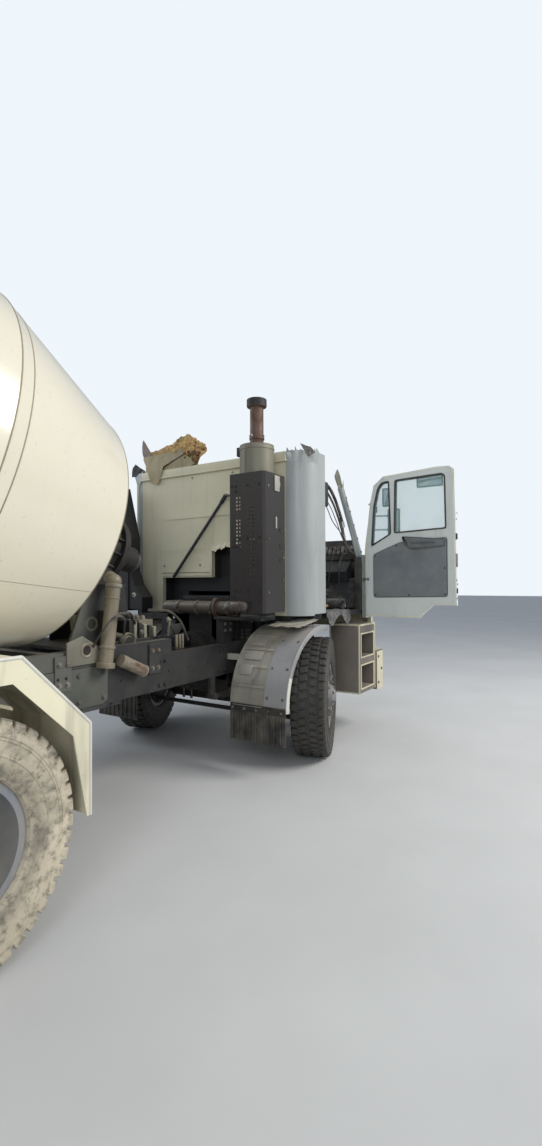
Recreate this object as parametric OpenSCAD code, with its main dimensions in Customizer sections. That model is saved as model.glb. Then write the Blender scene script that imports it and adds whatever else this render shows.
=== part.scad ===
// Three-axle concrete mixer truck, parked, with its cab torn open and its right door standing wide.
// Every module draws in the truck's own place: X forward from the front axle, Y to the left, Z up from
// the ground. placed() then moves the truck so that the origin is under the middle of its box.

/* [Wheels and axles] */
// Front axle to the first rear axle
wheelbase = 3300; // [3200:10:3400]
// First rear axle to the second
axle_gap = 1350; // [1300:10:1400]
// Tyre radius
tyre_r = 538; // [530:1:545]
// Tyre width
tyre_w = 306; // [290:1:312]
// Distance between the front tyres' middles
front_track = 2040; // [2020:5:2060]
// Distance between the middles of the rear twins
rear_track = 1830; // [1820:2:1840]
// Distance between a twin's two tyres
twin_gap = 340; // [335:1:345]
// How far the front wheels stand steered to the left
steer_rest = 20; // [0:1:22]

/* [Frame] */
// Width over the rails
frame_w = 860; // [850:2:870]
// Height of a rail
rail_h = 270; // [250:5:280]
// Top of the rails
rail_top = 1040; // [1030:1:1050]
// Width of a rail's flange
rail_flange = 80; // [70:1:90]
// Thickness of a rail
rail_t = 16; // [12:1:18]
// Front end of the rails
frame_front = 1150; // [1140:5:1160]
// Rear end of the rails
frame_rear = -5750; // [-5800:10:-5700]
// Height of the mixer's subframe
sub_h = 110; // [100:2:115]

/* [Drum] */
// Front ring's middle, along the truck
drum_x = -2109; // [-2130:1:-2090]
// Front ring's middle, above the ground
drum_z = 1996; // [1980:1:2010]
// Slope of the drum's axis
drum_tilt = 15; // [14.5:0.1:15.5]
// Thickness of the drum's shell
drum_t = 10; // [8:1:12]

/* [Cab] */
// Rear face of the cab
cab_rear = -260; // [-270:1:-250]
// Front face of the cab
cab_front = 1400; // [1390:1:1410]
// Half the cab's width
cab_half = 1110; // [1100:1:1115]
// Thickness of the cab's walls
cab_t = 45; // [40:1:50]
// Radius of the rear corners
corner_r = 220; // [200:5:230]
// Underside of the cab's floor
floor_z = 1245; // [1240:1:1250]
// Top edge of the rear wall
cab_top = 2767; // [2750:1:2780]
// How far the right door stands open
door_open = 90; // [0:5:90]

/* [Exhaust] */
// Muffler's middle, along the truck
muffler_x = -500; // [-510:1:-490]
// Muffler's middle, across the truck
muffler_y = -742; // [-750:1:-735]
// Muffler's radius
muffler_r = 150; // [140:1:155]

/* [Chute] */
// Swivel's middle, along the truck
chute_x = -6420; // [-6430:1:-6410]
// How far the chute is swung to the left from straight back
chute_swing = 70; // [60:5:80]
// Slope of the parked chute
chute_slope = 14; // [10:1:18]

/* [Hidden] */
$fn = 48;
// The front axle stands this far ahead of the box's middle, and the truck's middle this far left of it
place_x = 2808;
place_y = 338;
fit = 0.3;

axle_z = tyre_r;
rear_axles_x = [-wheelbase, -wheelbase - axle_gap];
tandem_x = -wheelbase - axle_gap / 2;
rail_bottom = rail_top - rail_h;
rail_in = frame_w / 2 - rail_flange;
rail_out = frame_w / 2;
sub_top = rail_top + sub_h;

bead_r = 286;
rim_inner_r = 272;
flange_r = 305;
rim_half = 114;
rim_flange_t = 14;
spindle_r = 40;
rear_spindle_r = 50;
kingpin_y = 850;
kingpin_r = 22;
arm_reach = 210;
tie_z = 395;

ring_s = 3340;
ring_r = 860;
roller_r = 125;
roller_angle = 32;
mouth_s = 4100;

hinge_x = 1058;
hinge_y = cab_half + 8;
pin_r = 6;
knuckle_r = 12;
tilt_x = 1115;
tilt_z = 1120;
tilt_pin_r = 16;

shield_x = [-660, -330];
shield_y = [-565, -920];
shield_z = [1328, 2520];

chute_pivot = 170;
chute_pivot_z = 1560;
chute_r = 210;
chute_len = 1150;
extension_len = 850;
trough_x = chute_r + 40;
fold_x = trough_x + 30;
fold_z = chute_len + 20;
// The jack's lower pin, and its eye on the chute
jack_base = [-105, 1190];
jack_eye_z = 600;
jack_eye = [-chute_pivot - jack_eye_z * cos(chute_slope), chute_pivot_z - jack_eye_z * sin(chute_slope)];
jack_len = norm(jack_eye - jack_base);
jack_angle = atan2(jack_eye[1] - jack_base[1], jack_base[0] - jack_eye[0]);

// Frame, springs and driveline
// Rows: the crossmember's rear face, its thickness, its bottom and its top
crossmembers = [[frame_rear, 70, 800, 1010], [rear_axles_x[1] - 350, 60, 880, 1010],
    [tandem_x - 30, 60, 860, 1010],
    [-2480, 60, 900, 1010], [-1560, 60, 900, 1010], [1070, 80, 790, 1020]];
tow_pin_r = 20;
// Rows: half length of a leaf, from the longest to the shortest
front_leaves = [760, 640, 500, 360, 220];
rear_leaves = [755, 600, 440, 280];
// Rows: front end's x and z, rear end's x and z
shafts = [[-1240, 820, rear_axles_x[0] + 360, 558], [rear_axles_x[0] - 190, 558, rear_axles_x[1] + 360, 558]];
bumper_top = 850;
tail_x = -5880;

// Mudguards: the round front ones, then the folded rear ones
guard_r = 640;
guard_t = 12;
guard_in = 640;
guard_out = 1250;
guard_top = 1280;
// Rows: x and z of the rear guard's folds, from the front foot to the middle of the tandem
guard_folds = [[rear_axles_x[0] + 610, 500], [rear_axles_x[0] + 610, 930],
    [rear_axles_x[0] + 260, guard_top]];

// Exhaust and water tank
pipe_r = 60;
muffler_top = 2776;
water_tank_x = [rear_axles_x[0] + 660, -1950];

// Mixer: pedestal, gearbox steps, roller places and the outlines of the drum
pedestal_top = 1580;
// Rows: start and end along the drum's axis, before the front ring, and the radius
gearbox_steps = [[-300, -240, 190], [-440, -300, 255], [-560, -440, 225], [-610, -560, 265],
    [-860, -610, 105]];
roller_y = (ring_r + roller_r + fit) * sin(roller_angle);
roller_drop = (ring_r + roller_r + fit) * cos(roller_angle);
// Drum: rows of distance along the axis from the front ring and radius
head_outline = [[-230, 150], [-195, 150], [-183, 250], [-146, 450], [-84, 650], [0, 845]];
shell_outline = [[0, 845], [848, 1087], [930, 1112], [2150, 1112]];
cone_outline = [[2150, 1112], [3900, 600], [mouth_s, 560]];

// Tyres and rims
tyre_outline = [[bead_r + fit, 113.7], [flange_r + fit, 113.7], [312, 142], [345, 151], [420, 153],
    [480, 149], [516, 138], [533, 120],
    [538, 92]];
hole_circle = 225;
hole_count = 10;

// Cab: pillars, floor, openings, front panel and doors
b_pillar = 90;
side_bottom = 1300;
tunnel_half = 400;
tunnel_top = 1520;
bulkhead_half = 600;
bulkhead_top = 1640;
// The bulkhead is higher on the exhaust's side, up to here
high_end = -50;
high_top = 1930;
panel_bottom = 1080;
panel_top = 1880;
// Rows: bottom of each slot in the front panel
grille_slots = [1190, 1250, 1310, 1370, 1430];
door_t = 48;
door_hinges = [1400, 1850];
// Outline of a door in X and Z, closed, from its hinge at the front
door_outline = [[1044, 1215], [1044, 1980], [1014, 2190], [987, 2420], [945, 2610], [840, 2695], [290, 2735],
    [160, 2730], [112, 2690], [98, 1350], [330, 1350], [470, 1215]];
main_window = [[725, 2090], [715, 2645], [230, 2665], [200, 2640], [192, 2112]];
vent_window = [[975, 1960], [948, 2380], [905, 2570], [860, 2632], [775, 2645], [757, 2085]];
door_recess = [[960, 1415], [960, 1880], [660, 2000], [180, 2030], [180, 1430]];

module placed() {
    translate([place_x, place_y, 0]) children();
}

// Both sides: children are drawn on the left and mirrored to the right
module both_sides() {
    children();
    mirror([0, 1, 0]) children();
}

// A block given by its limits along X, Y and Z
module block(x, y, z) {
    translate([x[0], y[0], z[0]]) cube([x[1] - x[0], y[1] - y[0], z[1] - z[0]]);
}

// An outline in X and Z, given thickness from y0 to y1
module side_plate(points, y0, y1) {
    translate([0, y1, 0]) rotate([90, 0, 0]) linear_extrude(y1 - y0) polygon(points);
}

// An outline in Y and Z, given thickness from x0 to x1
module cross_plate(points, x0, x1) {
    translate([x0, 0, 0]) rotate([90, 0, 90]) linear_extrude(x1 - x0) polygon(points);
}

module rod_x(x0, x1, y, z, r) {
    translate([x0, y, z]) rotate([0, 90, 0]) cylinder(h = x1 - x0, r = r);
}

module rod_y(y0, y1, x, z, r) {
    translate([x, y1, z]) rotate([90, 0, 0]) cylinder(h = y1 - y0, r = r);
}

module rod_z(z0, z1, x, y, r) {
    translate([x, y, z0]) cylinder(h = z1 - z0, r = r);
}

// A straight rod between two points
module rod_between(a, b, r) {
    v = b - a;
    length = norm(v);
    translate(a) rotate([0, acos(v[2] / length), atan2(v[1], v[0])]) cylinder(h = length, r = r);
}

// Turns an outline of radius and outward distance about an axle lying across the truck
module turned() {
    rotate([-90, 0, 0]) rotate_extrude($fn = 72) children();
}

// The drum's own axis: its z runs back and up along the slope from the front ring
module on_drum_axis() {
    translate([drum_x, 0, drum_z]) rotate([0, drum_tilt - 90, 0]) children();
}

// Frame

module c_rail() {
    cross_plate([[rail_in, rail_bottom], [rail_out, rail_bottom], [rail_out, rail_top], [rail_in, rail_top],
        [rail_in, rail_top - rail_t], [rail_out - rail_t, rail_top - rail_t],
        [rail_out - rail_t, rail_bottom + rail_t], [rail_in, rail_bottom + rail_t]], frame_rear, frame_front);
}

module frame_rails() {
    color("dimgray") {
        difference() {
            union() {
                both_sides() c_rail();
                for (m = crossmembers)
                    block([m[0], m[0] + m[1]], [-rail_out + rail_t / 2, rail_out - rail_t / 2], [m[2], m[3]]);
                both_sides() cab_mount();
                both_sides() tilt_bracket();
                block([frame_front, frame_front + 78], [-70, 70], [820, 940]);
            }
            rod_z(800, 960, frame_front + 38, 0, tow_pin_r);
            both_sides() rod_y(rail_in - 10, rail_out + 10, tilt_x, tilt_z, tilt_pin_r + fit);
        }
    }
}

// Post under the cab's rear end
module cab_mount() {
    block([-240, -140], [rail_in, rail_out], [rail_top, floor_z - 1]);
}

// Ear on the rail's front end for the cab's tilting pin
module tilt_bracket() {
    side_plate([[tilt_x - 35, rail_top], [tilt_x + 35, rail_top], [tilt_x + 35, tilt_z],
        [tilt_x + 20, tilt_z + 32],
        [tilt_x - 20, tilt_z + 32], [tilt_x - 35, tilt_z]], rail_out - 40, rail_out);
}

module subframe() {
    color("lightgray") {
        both_sides() block([frame_rear, -1250], [rail_in, rail_out], [rail_top, sub_top]);
        for (x = [-5750, -4900, -2260, -1330])
            block([x, x + 80], [-rail_in, rail_in], [rail_top + 10, sub_top - 20]);
        both_sides() for (x = [-5300, -4400, -3000, -2300, -1500])
            block([x, x + 120], [rail_out, rail_out + 14], [rail_top - 130, sub_top - 20]);
    }
}

// Axles and springs

module front_axle() {
    color("dimgray") difference() {
        union() {
            cross_plate([[-kingpin_y, 470], [-740, 440], [-640, 390], [640, 390], [740, 440],
                [kingpin_y, 470],
                [kingpin_y, 600], [770, 580], [640, 480], [-640, 480], [-770, 580], [-kingpin_y, 600]], -45,
                    45);
            both_sides() rod_z(455, 621, 0, kingpin_y, 52);
        }
        both_sides() rod_z(440, 640, 0, kingpin_y, kingpin_r + fit);
    }
}

module rear_axle(x) {
    translate([x, 0, axle_z]) {
        rod_y(-566, 566, 0, 0, 72);
        both_sides() rod_y(560, rear_track / 2 + 60, 0, 0, rear_spindle_r);
        rotate([0, 90, 0]) cylinder(h = 260, r = 205, center = true);
        translate([130, 0, 20]) rotate([0, 90, 0]) cylinder(h = 170, r1 = 180, r2 = 95);
        translate([300, 0, 20]) rotate([0, 90, 0]) cylinder(h = 60, r = 75);
        translate([-190, 0, 20]) rotate([0, 90, 0]) cylinder(h = 70, r = 75);
        both_sides() block([-70, 70], [445, 529], [0, 102]);
        both_sides() rod_y(540, 566, 0, 0, 170);
    }
}

module rear_axles() {
    color("dimgray") for (x = rear_axles_x) rear_axle(x);
}

module front_spring() {
    leaf_t = 18;
    union() {
        for (i = [0:len(front_leaves) - 1])
            block([-front_leaves[i], front_leaves[i]], [390, 470],
                [616 - leaf_t * (i + 1), 616 - leaf_t * i]);
        block([-90, 90], [380, 480], [480, 530]);
        for (x = [-760, 700])
            block([x, x + 60], [400, 430], [598, rail_bottom]);
        both_sides_x() rod_y(392, 468, 735, 610, 30);
    }
}

module both_sides_x() {
    children();
    mirror([1, 0, 0]) children();
}

module rear_spring() {
    leaf_t = 25;
    translate([tandem_x, 0, 0]) {
        for (i = [0:len(rear_leaves) - 1])
            block([-rear_leaves[i], rear_leaves[i]], [445, 529], [640 + leaf_t * i, 640 + leaf_t * (i + 1)]);
        block([-130, 130], [rail_in, 529], [740, rail_bottom]);
        side_plate([[-130, 740], [130, 740], [70, 560], [-70, 560]], 430, 444);
        rod_y(430, 540, 0, 600, 45);
    }
}

module springs() {
    color("dimgray") both_sides() {
        front_spring();
        rear_spring();
    }
}

// Power train

module engine() {
    color("slategray") {
        block([-380, 750], [-330, 330], [640, 1420]);
        both_sides() block([240, 360], [320, rail_out], [rail_top, rail_top + 50]);
        rod_x(-560, -380, 0, 860, 260);
        rod_x(-1180, -560, 0, 850, 190);
        both_sides() block([-900, -780], [150, rail_out - rail_t], [820, 900]);
        rod_x(-1240, -1180, 0, 820, 72);
    }
}

module propshafts() {
    color("dimgray") for (s = shafts) {
        rod_x(s[0] - 60, s[0], 0, s[1], 66);
        rod_x(s[2], s[2] + 60, 0, s[3], 66);
        rod_between([s[0] - 40, 0, s[1]], [s[2] + 40, 0, s[3]], 48);
    }
}

// Front end

module bumper() {
    color("gainsboro") {
        difference() {
            translate([0, 0, 430]) linear_extrude(bumper_top - 430) difference() {
                bumper_plan(0);
                bumper_plan(60);
            }
            both_sides() block([1250, 1500], [780, 1060], [560, 740]);
            block([1250, 1500], [-420, 420], [620, 760]);
            block([1200, 1500], [-110, 110], [790, 960]);
        }
        both_sides() block([1040, 1410], [rail_in, rail_out - rail_t - 1], [700, rail_bottom]);
        both_sides() block([1360, 1420], [rail_in, rail_out], [600, 800]);
    }
}

// The bumper's plan, drawn in by a distance, and open behind
module bumper_plan(inset) {
    polygon([[1110, -1210 + inset], [1290 - inset / 2, -1210 + inset], [1430 - inset, -1040 + inset],
        [1470 - inset, -500], [1470 - inset, 500], [1430 - inset, 1040 - inset],
        [1290 - inset / 2, 1210 - inset], [1110 - inset / 30, 1210 - inset]]);
}

module step_box() {
    difference() {
        block([690, 1100], [860, 1190], [450, 1150]);
        for (z = [500, 820])
            block([730, 1060], [960, 1200], [z, z + 230]);
        block([680, 1060], [880, 940], [440, 1130]);
    }
    block([1000, 1060], [rail_out, 860], [800, 880]);
}

module steps() {
    color("gray") both_sides() step_box();
}

module lamps() {
    both_sides() {
        color("whitesmoke") block([1385, 1425], [780 + fit, 1060 - fit], [560 + fit, 740 - fit]);
        color("firebrick") block([tail_x - 40, tail_x], [700, 1020], [880, 980]);
    }
}

// Mudguards and flaps

module front_mudguard() {
    arc = [for (a = [80:10:180]) [cos(a), sin(a)]];
    outer = [for (p = arc) [p[0] * (guard_r + guard_t), axle_z + p[1] * (guard_r + guard_t)]];
    inner = [for (i = [len(arc) - 1:-1:0]) [arc[i][0] * guard_r, axle_z + arc[i][1] * guard_r]];
    union() {
        side_plate(concat(outer, [[-guard_r - guard_t, 520], [-guard_r, 520]], inner), 560, 1120);
        side_plate(concat([for (p = arc) [p[0] * (guard_r + guard_t), axle_z + p[1] * (guard_r + guard_t)]],
            [[-guard_r - guard_t, 520], [-guard_r + 50, 520]],
            [for (i = [len(arc) - 1:-1:0]) [arc[i][0] * (guard_r - 30),
                axle_z + arc[i][1] * (guard_r - 30)]]),
            1108, 1120);
        block([-520, -470], [rail_out, 640], [900, 950]);
    }
}

module front_mudguards() {
    color("beige") both_sides() front_mudguard();
}

module rear_mudguard() {
    t = 8;
    f = guard_folds;
    mx = 2 * tandem_x;
    outside = [f[0], f[1], f[2], [mx - f[2][0], f[2][1]], [mx - f[1][0], f[1][1]], [mx - f[0][0], f[0][1]]];
    inside = [[mx - f[0][0] + t, f[0][1]], [mx - f[1][0] + t, f[1][1] - t / 2],
        [mx - f[2][0] + t / 2, guard_top - t],
        [f[2][0] - t / 2, guard_top - t], [f[1][0] - t, f[1][1] - t / 2], [f[0][0] - t, f[0][1]]];
    lip = [[mx - f[0][0] + 20, f[0][1]], [mx - f[1][0] + 95, f[1][1] - 40],
        [mx - f[2][0] + 40, guard_top - 105],
        [f[2][0] - 40, guard_top - 105], [f[1][0] - 95, f[1][1] - 40], [f[0][0] - 20, f[0][1]]];
    union() {
        side_plate(concat(outside, inside), guard_in, guard_out);
        side_plate(concat(outside, lip), guard_out - 8, guard_out);
        block([tandem_x - 25, tandem_x + 25], [rail_out, 700], [950, 1000]);
        block([tandem_x - 25, tandem_x + 25], [650, 700], [950, guard_top - t]);
        block([f[1][0], f[1][0] + 50], [rail_out, 1000], [860, 910]);
        block([mx - f[1][0] - 50, mx - f[1][0]], [rail_out, 1000], [860, 910]);
    }
}

module rear_mudguards() {
    color("ivory") both_sides() rear_mudguard();
}

module mud_flaps() {
    color("dimgray") both_sides() {
        block([-guard_r - guard_t - 6, -guard_r - guard_t], [560, 1110], [250, 560]);
        block([2 * tandem_x - guard_folds[0][0] - 8, 2 * tandem_x - guard_folds[0][0]],
            [guard_in, guard_out - 10],
            [250, 560]);
    }
}

// Behind the cab

module exhaust() {
    color("sienna") {
        rod_z(1280, muffler_top, muffler_x, muffler_y, muffler_r);
        rod_y(muffler_y, 300, muffler_x, 1355, pipe_r);
        rod_y(-300, -280, muffler_x, 1355, pipe_r + 30);
        translate([muffler_x, 300, 1355]) sphere(r = pipe_r);
        rod_x(muffler_x, -380, 300, 1355, pipe_r);
        block([-620, -400], [-860, -rail_in], [1260, 1280]);
        block([-580, -460], [-rail_out, -rail_in], [rail_top, 1260]);
    }
}

// Stack on the muffler, with the clamp ring left open at its top
module exhaust_stack() {
    color("sienna") difference() {
        union() {
            rod_z(muffler_top, 3120, muffler_x, muffler_y, 59);
            rod_z(3120, 3185, muffler_x, muffler_y, 85);
        }
        rod_z(3140, 3200, muffler_x, muffler_y, 52);
    }
}

module heat_shield() {
    t = 6;
    x = shield_x;
    y = shield_y;
    color("saddlebrown") {
        translate([0, 0, shield_z[0]]) linear_extrude(shield_z[1] - shield_z[0])
            polygon([[x[0], y[0]], [x[0], y[1] + 20], [x[0] + 20, y[1]], [x[1], y[1]], [x[1], y[1] + t],
                [x[0] + 22, y[1] + t], [x[0] + t, y[1] + 22], [x[0] + t, y[0]]]);
        for (z = [1500, 1950, 2400])
            difference() {
                block([x[0] + t / 2, muffler_x], [muffler_y - 20, muffler_y + 20], [z, z + 30]);
                rod_z(z - 10, z + 40, muffler_x, muffler_y, muffler_r + fit);
            }
    }
}

module air_intake() {
    color("darkslategray") {
        // Duct up the cab's left corner, and the filter's housing at its foot
        cross_plate([[880, 1300], [1060, 1300], [1060, 2050], [1110, 2600], [1030, 2600], [880, 2050]],
            -480, -310);
        cross_plate([[885, 1320], [885, 1750], [800, 1560], [690, 1440], [690, 1320]], -470, -320);
        block([-460, -380], [rail_in, 760], [1230, 1280]);
        block([-460, -380], [700, 760], [1230, 1330]);
        block([-460, -380], [rail_in, rail_out], [rail_top, 1240]);
    }
}

// Drum drive

module front_pedestal() {
    color("lightgray") {
        block([-2150, -1400], [-360, 360], [sub_top, sub_top + 20]);
        both_sides() {
            side_plate([[-2150, sub_top], [-1840, sub_top], [-1840, pedestal_top], [-1980, pedestal_top]],
                340, 360);
            side_plate([[-1900, sub_top], [-1440, sub_top], [-1500, pedestal_top], [-1900, pedestal_top]],
                160, 180);
            side_plate([[-1900, sub_top], [-1880, sub_top], [-1880, 1400], [-1900, 1400]], 360, 420);
        }
        block([-1980, -1840], [-360, 360], [pedestal_top - 20, pedestal_top]);
        block([-1870, -1490], [-180, 180], [pedestal_top - 20, pedestal_top]);
    }
}

module drum_gearbox() {
    color("gray") {
        on_drum_axis() for (g = gearbox_steps)
            translate([0, 0, g[0]]) cylinder(h = g[1] - g[0], r = g[2]);
        block([-1790, -1560], [-180, 180], [pedestal_top, 1800]);
    }
}

module hydraulics() {
    color("darkgray") {
        // Upright pipe with its bend
        foot = [-1947, -rail_out - 55, 1030];
        top = [-1872, -rail_out - 55, 1600];
        rod_between(foot, top, 47);
        translate(top) sphere(r = 50);
        rod_between(top, top + [37, 85, 25], 47);
        block([-1965, -1915], [foot[1] + 40, -rail_out], [rail_top - 10, rail_top + 50]);
        // Valve block and its lugs
        block([-1330, -1180], [-160, 40], [sub_top - 20, 1290]);
        rod_x(-1390, -1330, -60, 1210, 62);
        // Filter that hangs outside the rail
        rod_between([-1815, -rail_out - 52, 1058], [-1590, -rail_out - 52, 950], 42);
        block([-1730, -1680], [-rail_out - 52, -rail_out], [980, 1020]);
    }
}

// Rear end of the mixer

module rear_pedestal() {
    color("lightgray") {
        both_sides() {
            side_plate([[-5740, sub_top], [-5380, sub_top], [-5500, 1800], [-5710, 1800]], rail_in,
                rail_in + 24);
            roller_bracket();
        }
        block([-5710, -5500], [-924, 924], [1800, 1880]);
        block([-5700, -5640], [-rail_in - 24, rail_in + 24], [sub_top, 1700]);
    }
}

// Side frames that carry the hopper and the collector
module hopper_frame() {
    color("lightgray") both_sides()
        side_plate([[-5480, 1880], [-5620, 3020], [-5960, 3420], [-6800, 3420], [-6800, 3320], [-6480, 3320],
            [-6480, 2850], [-6360, 2850], [-6360, 3320], [-6010, 3320], [-5740, 2990], [-5620, 1880]], 900,
                924);
}

// Places children at the left roller's middle, with z along the drum's axis
module at_roller() {
    on_drum_axis() translate([-roller_drop, roller_y, ring_s]) children();
}

module roller_bracket() {
    difference() {
        union() {
            at_roller() for (z = [-100, 76])
                translate([-60, -50, z]) cube([120, 100, 24]);
            intersection() {
                at_roller() for (z = [-100, 76])
                    translate([-400, -50, z]) cube([400, 100, 24]);
                block([-6000, -5300], [400, 700], [1865, 2400]);
            }
        }
        at_roller() translate([0, 0, -120]) cylinder(h = 240, r = 25 + fit);
    }
}

module roller() {
    color("dimgray") {
        at_roller() translate([0, 0, -60]) cylinder(h = 120, r = roller_r);
        at_roller() translate([0, 0, -105]) cylinder(h = 210, r = 25);
    }
}

module roller_left() {
    roller();
}

module roller_right() {
    mirror([0, 1, 0]) roller();
}

// Charging hopper: radius and height from the spout to the rim
module hopper() {
    color("ivory") {
        difference() {
            union() {
                for (dx = [-230, 170])
                    block([chute_x + dx, chute_x + dx + 60], [-924, 924], [3420, 3460]);
                translate([chute_x, 0, 3300]) cylinder(h = 430, r1 = 190, r2 = 420);
            }
            translate([chute_x, 0, 3299]) cylinder(h = 433, r1 = 180, r2 = 412);
        }
        difference() {
            translate([chute_x, 0, 3730]) cylinder(h = 20, r = 440);
            translate([chute_x, 0, 3720]) cylinder(h = 40, r = 411);
        }
        spout();
    }
}

// Trough that leads from the funnel into the drum's mouth
module spout() {
    difference() {
        rod_between([chute_x, 0, 3300], [-5900, 0, 3130], 197);
        rod_between([chute_x - 30, 0, 3310], [-5870, 0, 3120], 182);
        block([-7000, -5500], [-300, 300], [3310, 3700]);
    }
}

// Discharge collector: the rear part of a cone, open towards the drum
module collector() {
    color("ivory") {
        translate([chute_x, 0, 0]) rotate([0, 0, 75]) rotate_extrude(angle = 210)
            polygon([[200, 1930], [210, 1930], [600, 2950], [590, 2950]]);
        both_sides() block([chute_x - 60, chute_x + 60], [590, 900], [2860, 2930]);
    }
}

module ladder() {
    x = 2 * tandem_x - guard_folds[0][0] + 80;
    color("lightgray") {
        ladder_frame(x);
        block([x - 60, x + 440], [rail_out, 620], [sub_top, sub_top + 30]);
    }
}

// Ladder on the left, from the mudguard to the hopper's height
module ladder_frame(x) {
    for (dx = [0, 380])
        rod_z(guard_top, 3000, x + dx, 1190, 20);
    for (i = [0:5])
        rod_x(x, x + 380, 1190, guard_top + 150 + i * 290, 14);
    for (dx = [0, 380])
        rod_y(924, 1190, x + dx, 2950, 16);
}

module tanks() {
    color("silver") {
        // Fuel tank
        block([-1850, -950], [470, 1030], [480, 1040]);
        for (x = [-1750, -1100])
            block([x, x + 50], [rail_out, 470], [820, 900]);
        // Water tank
        rod_x(water_tank_x[0], water_tank_x[1], 740, 760, 230);
        for (x = [water_tank_x[0] + 140, water_tank_x[1] - 190])
            block([x, x + 50], [rail_out, 520], [820, 900]);
    }
}

module tail_bar() {
    color("dimgray") {
        block([tail_x, tail_x + 40], [-1120, 1120], [860, 1000]);
        both_sides() block([tail_x + 40, frame_rear], [rail_in, rail_in + 60], [880, 980]);
        both_sides() block([tail_x, tail_x + 60], [rail_in, rail_in + 60], [500, 860]);
        block([tail_x, tail_x + 80], [-1150, 1150], [420, 520]);
        // Arm and bearing for the chute's swivel
        difference() {
            union() {
                block([chute_x, frame_rear], [-60, 60], [1010, 1150]);
                rod_z(1010, 1150, chute_x, 0, 90);
            }
            rod_z(900, 1200, chute_x, 0, 45 + fit);
        }
    }
}

// A skin of the drum's thickness along a stretch of its outline
module drum_skin(outline) {
    n = len(outline);
    outer = [for (p = outline) [p[1], p[0]]];
    inner = [for (i = [n - 1:-1:0]) [outline[i][1] - drum_t, outline[i][0]]];
    rotate_extrude($fn = 96) polygon(concat(outer, inner));
}

// Dished front end, with the flange that the gearbox turns
module drum_head() {
    color("ivory") on_drum_axis() {
        n = len(head_outline);
        rotate_extrude($fn = 96) polygon(concat([[0, -230]], [for (p = head_outline) [p[1], p[0]]],
            [for (i = [n - 1:-1:2]) [head_outline[i][1] - drum_t,
                head_outline[i][0] + (i < n - 1 ? drum_t : 0)]],
            [[0, -195 + drum_t]]));
    }
}

module drum_shell() {
    color("ivory") on_drum_axis() drum_skin(shell_outline);
}

// Rear cone, with the running ring and the mouth's hoop
module drum_cone() {
    color("ivory") on_drum_axis() {
        drum_skin(cone_outline);
        rotate_extrude($fn = 96) polygon([[755, ring_s - 55], [ring_r, ring_s - 55], [ring_r, ring_s + 55],
            [740, ring_s + 55]]);
        rotate_extrude($fn = 96) polygon([[550, mouth_s - 30], [590, mouth_s - 30], [590, mouth_s],
            [550, mouth_s]]);
    }
}

// Wheels

module tyre() {
    n = len(tyre_outline);
    scale_r = tyre_r / 538;
    scale_w = tyre_w / 306;
    color("dimgray") turned() polygon(concat(
        [for (p = tyre_outline) [p[0] > 400 ? p[0] * scale_r : p[0], p[1] > 120 ? p[1] * scale_w : p[1]]],
        [for (i = [n - 1:-1:0]) let (p = tyre_outline[i])
            [p[0] > 400 ? p[0] * scale_r : p[0], p[1] > 120 ? -p[1] * scale_w : -p[1]]]));
}

// Rim barrel with its two flanges, about its own middle
module barrel() {
    polygon([[rim_inner_r, -rim_half - rim_flange_t], [flange_r, -rim_half - rim_flange_t],
        [flange_r, -rim_half],
        [bead_r, -rim_half], [bead_r, rim_half], [flange_r, rim_half], [flange_r, rim_half + rim_flange_t],
        [rim_inner_r, rim_half + rim_flange_t]]);
}

module hand_holes(y0, y1, r) {
    for (i = [0:hole_count - 1])
        rotate([0, i * 360 / hole_count, 0]) rod_y(y0, y1, 0, hole_circle, r);
}

module front_rim() {
    difference() {
        union() {
            turned() barrel();
            turned() polygon([[140, 118], [rim_inner_r + 8, 67], [rim_inner_r + 8, 53], [140, 106]]);
            turned() polygon([[spindle_r + fit, -10], [110, -10], [120, 104], [160, 104], [160, 118],
                [105, 124],
                [90, 170], [60, 178], [0, 178], [0, 90], [spindle_r + fit, 90]]);
        }
        hand_holes(40, 140, 24);
    }
}

module twin_rim() {
    half = twin_gap / 2;
    difference() {
        union() {
            for (y = [-half, half])
                translate([0, y, 0]) turned() barrel();
            for (side = [-1, 1])
                turned() polygon([[150, 0], [190, 0], [rim_inner_r + 8, side * (half - 63)],
                    [rim_inner_r + 8, side * (half - 49)], [186, side * 14], [150, side * 14]]);
            turned() polygon([[rear_spindle_r + fit, -120], [150, -120], [155, 30], [140, 60], [110, 66],
                [100, 180],
                [0, 180], [0, 80], [rear_spindle_r + fit, 80]]);
        }
        hand_holes(-80, 80, 24);
    }
}

// Turns a front wheel's parts about its left kingpin to the angle at which they stand
module steered(side) {
    translate([0, side * kingpin_y, 0]) rotate([0, 0, steer_rest]) translate([0, -side * kingpin_y,
        0]) children();
}

module at_front(side) {
    steered(side) translate([0, side * front_track / 2, axle_z]) on_side(side) children();
}

module at_rear(side, number) {
    translate([rear_axles_x[number], side * rear_track / 2, axle_z]) on_side(side) children();
}

module on_side(side) {
    if (side > 0) children();
    else mirror([0, 1, 0]) children();
}

module twin_tyres() {
    translate([0, twin_gap / 2, 0]) tyre();
    translate([0, -twin_gap / 2, 0]) tyre();
}

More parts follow.
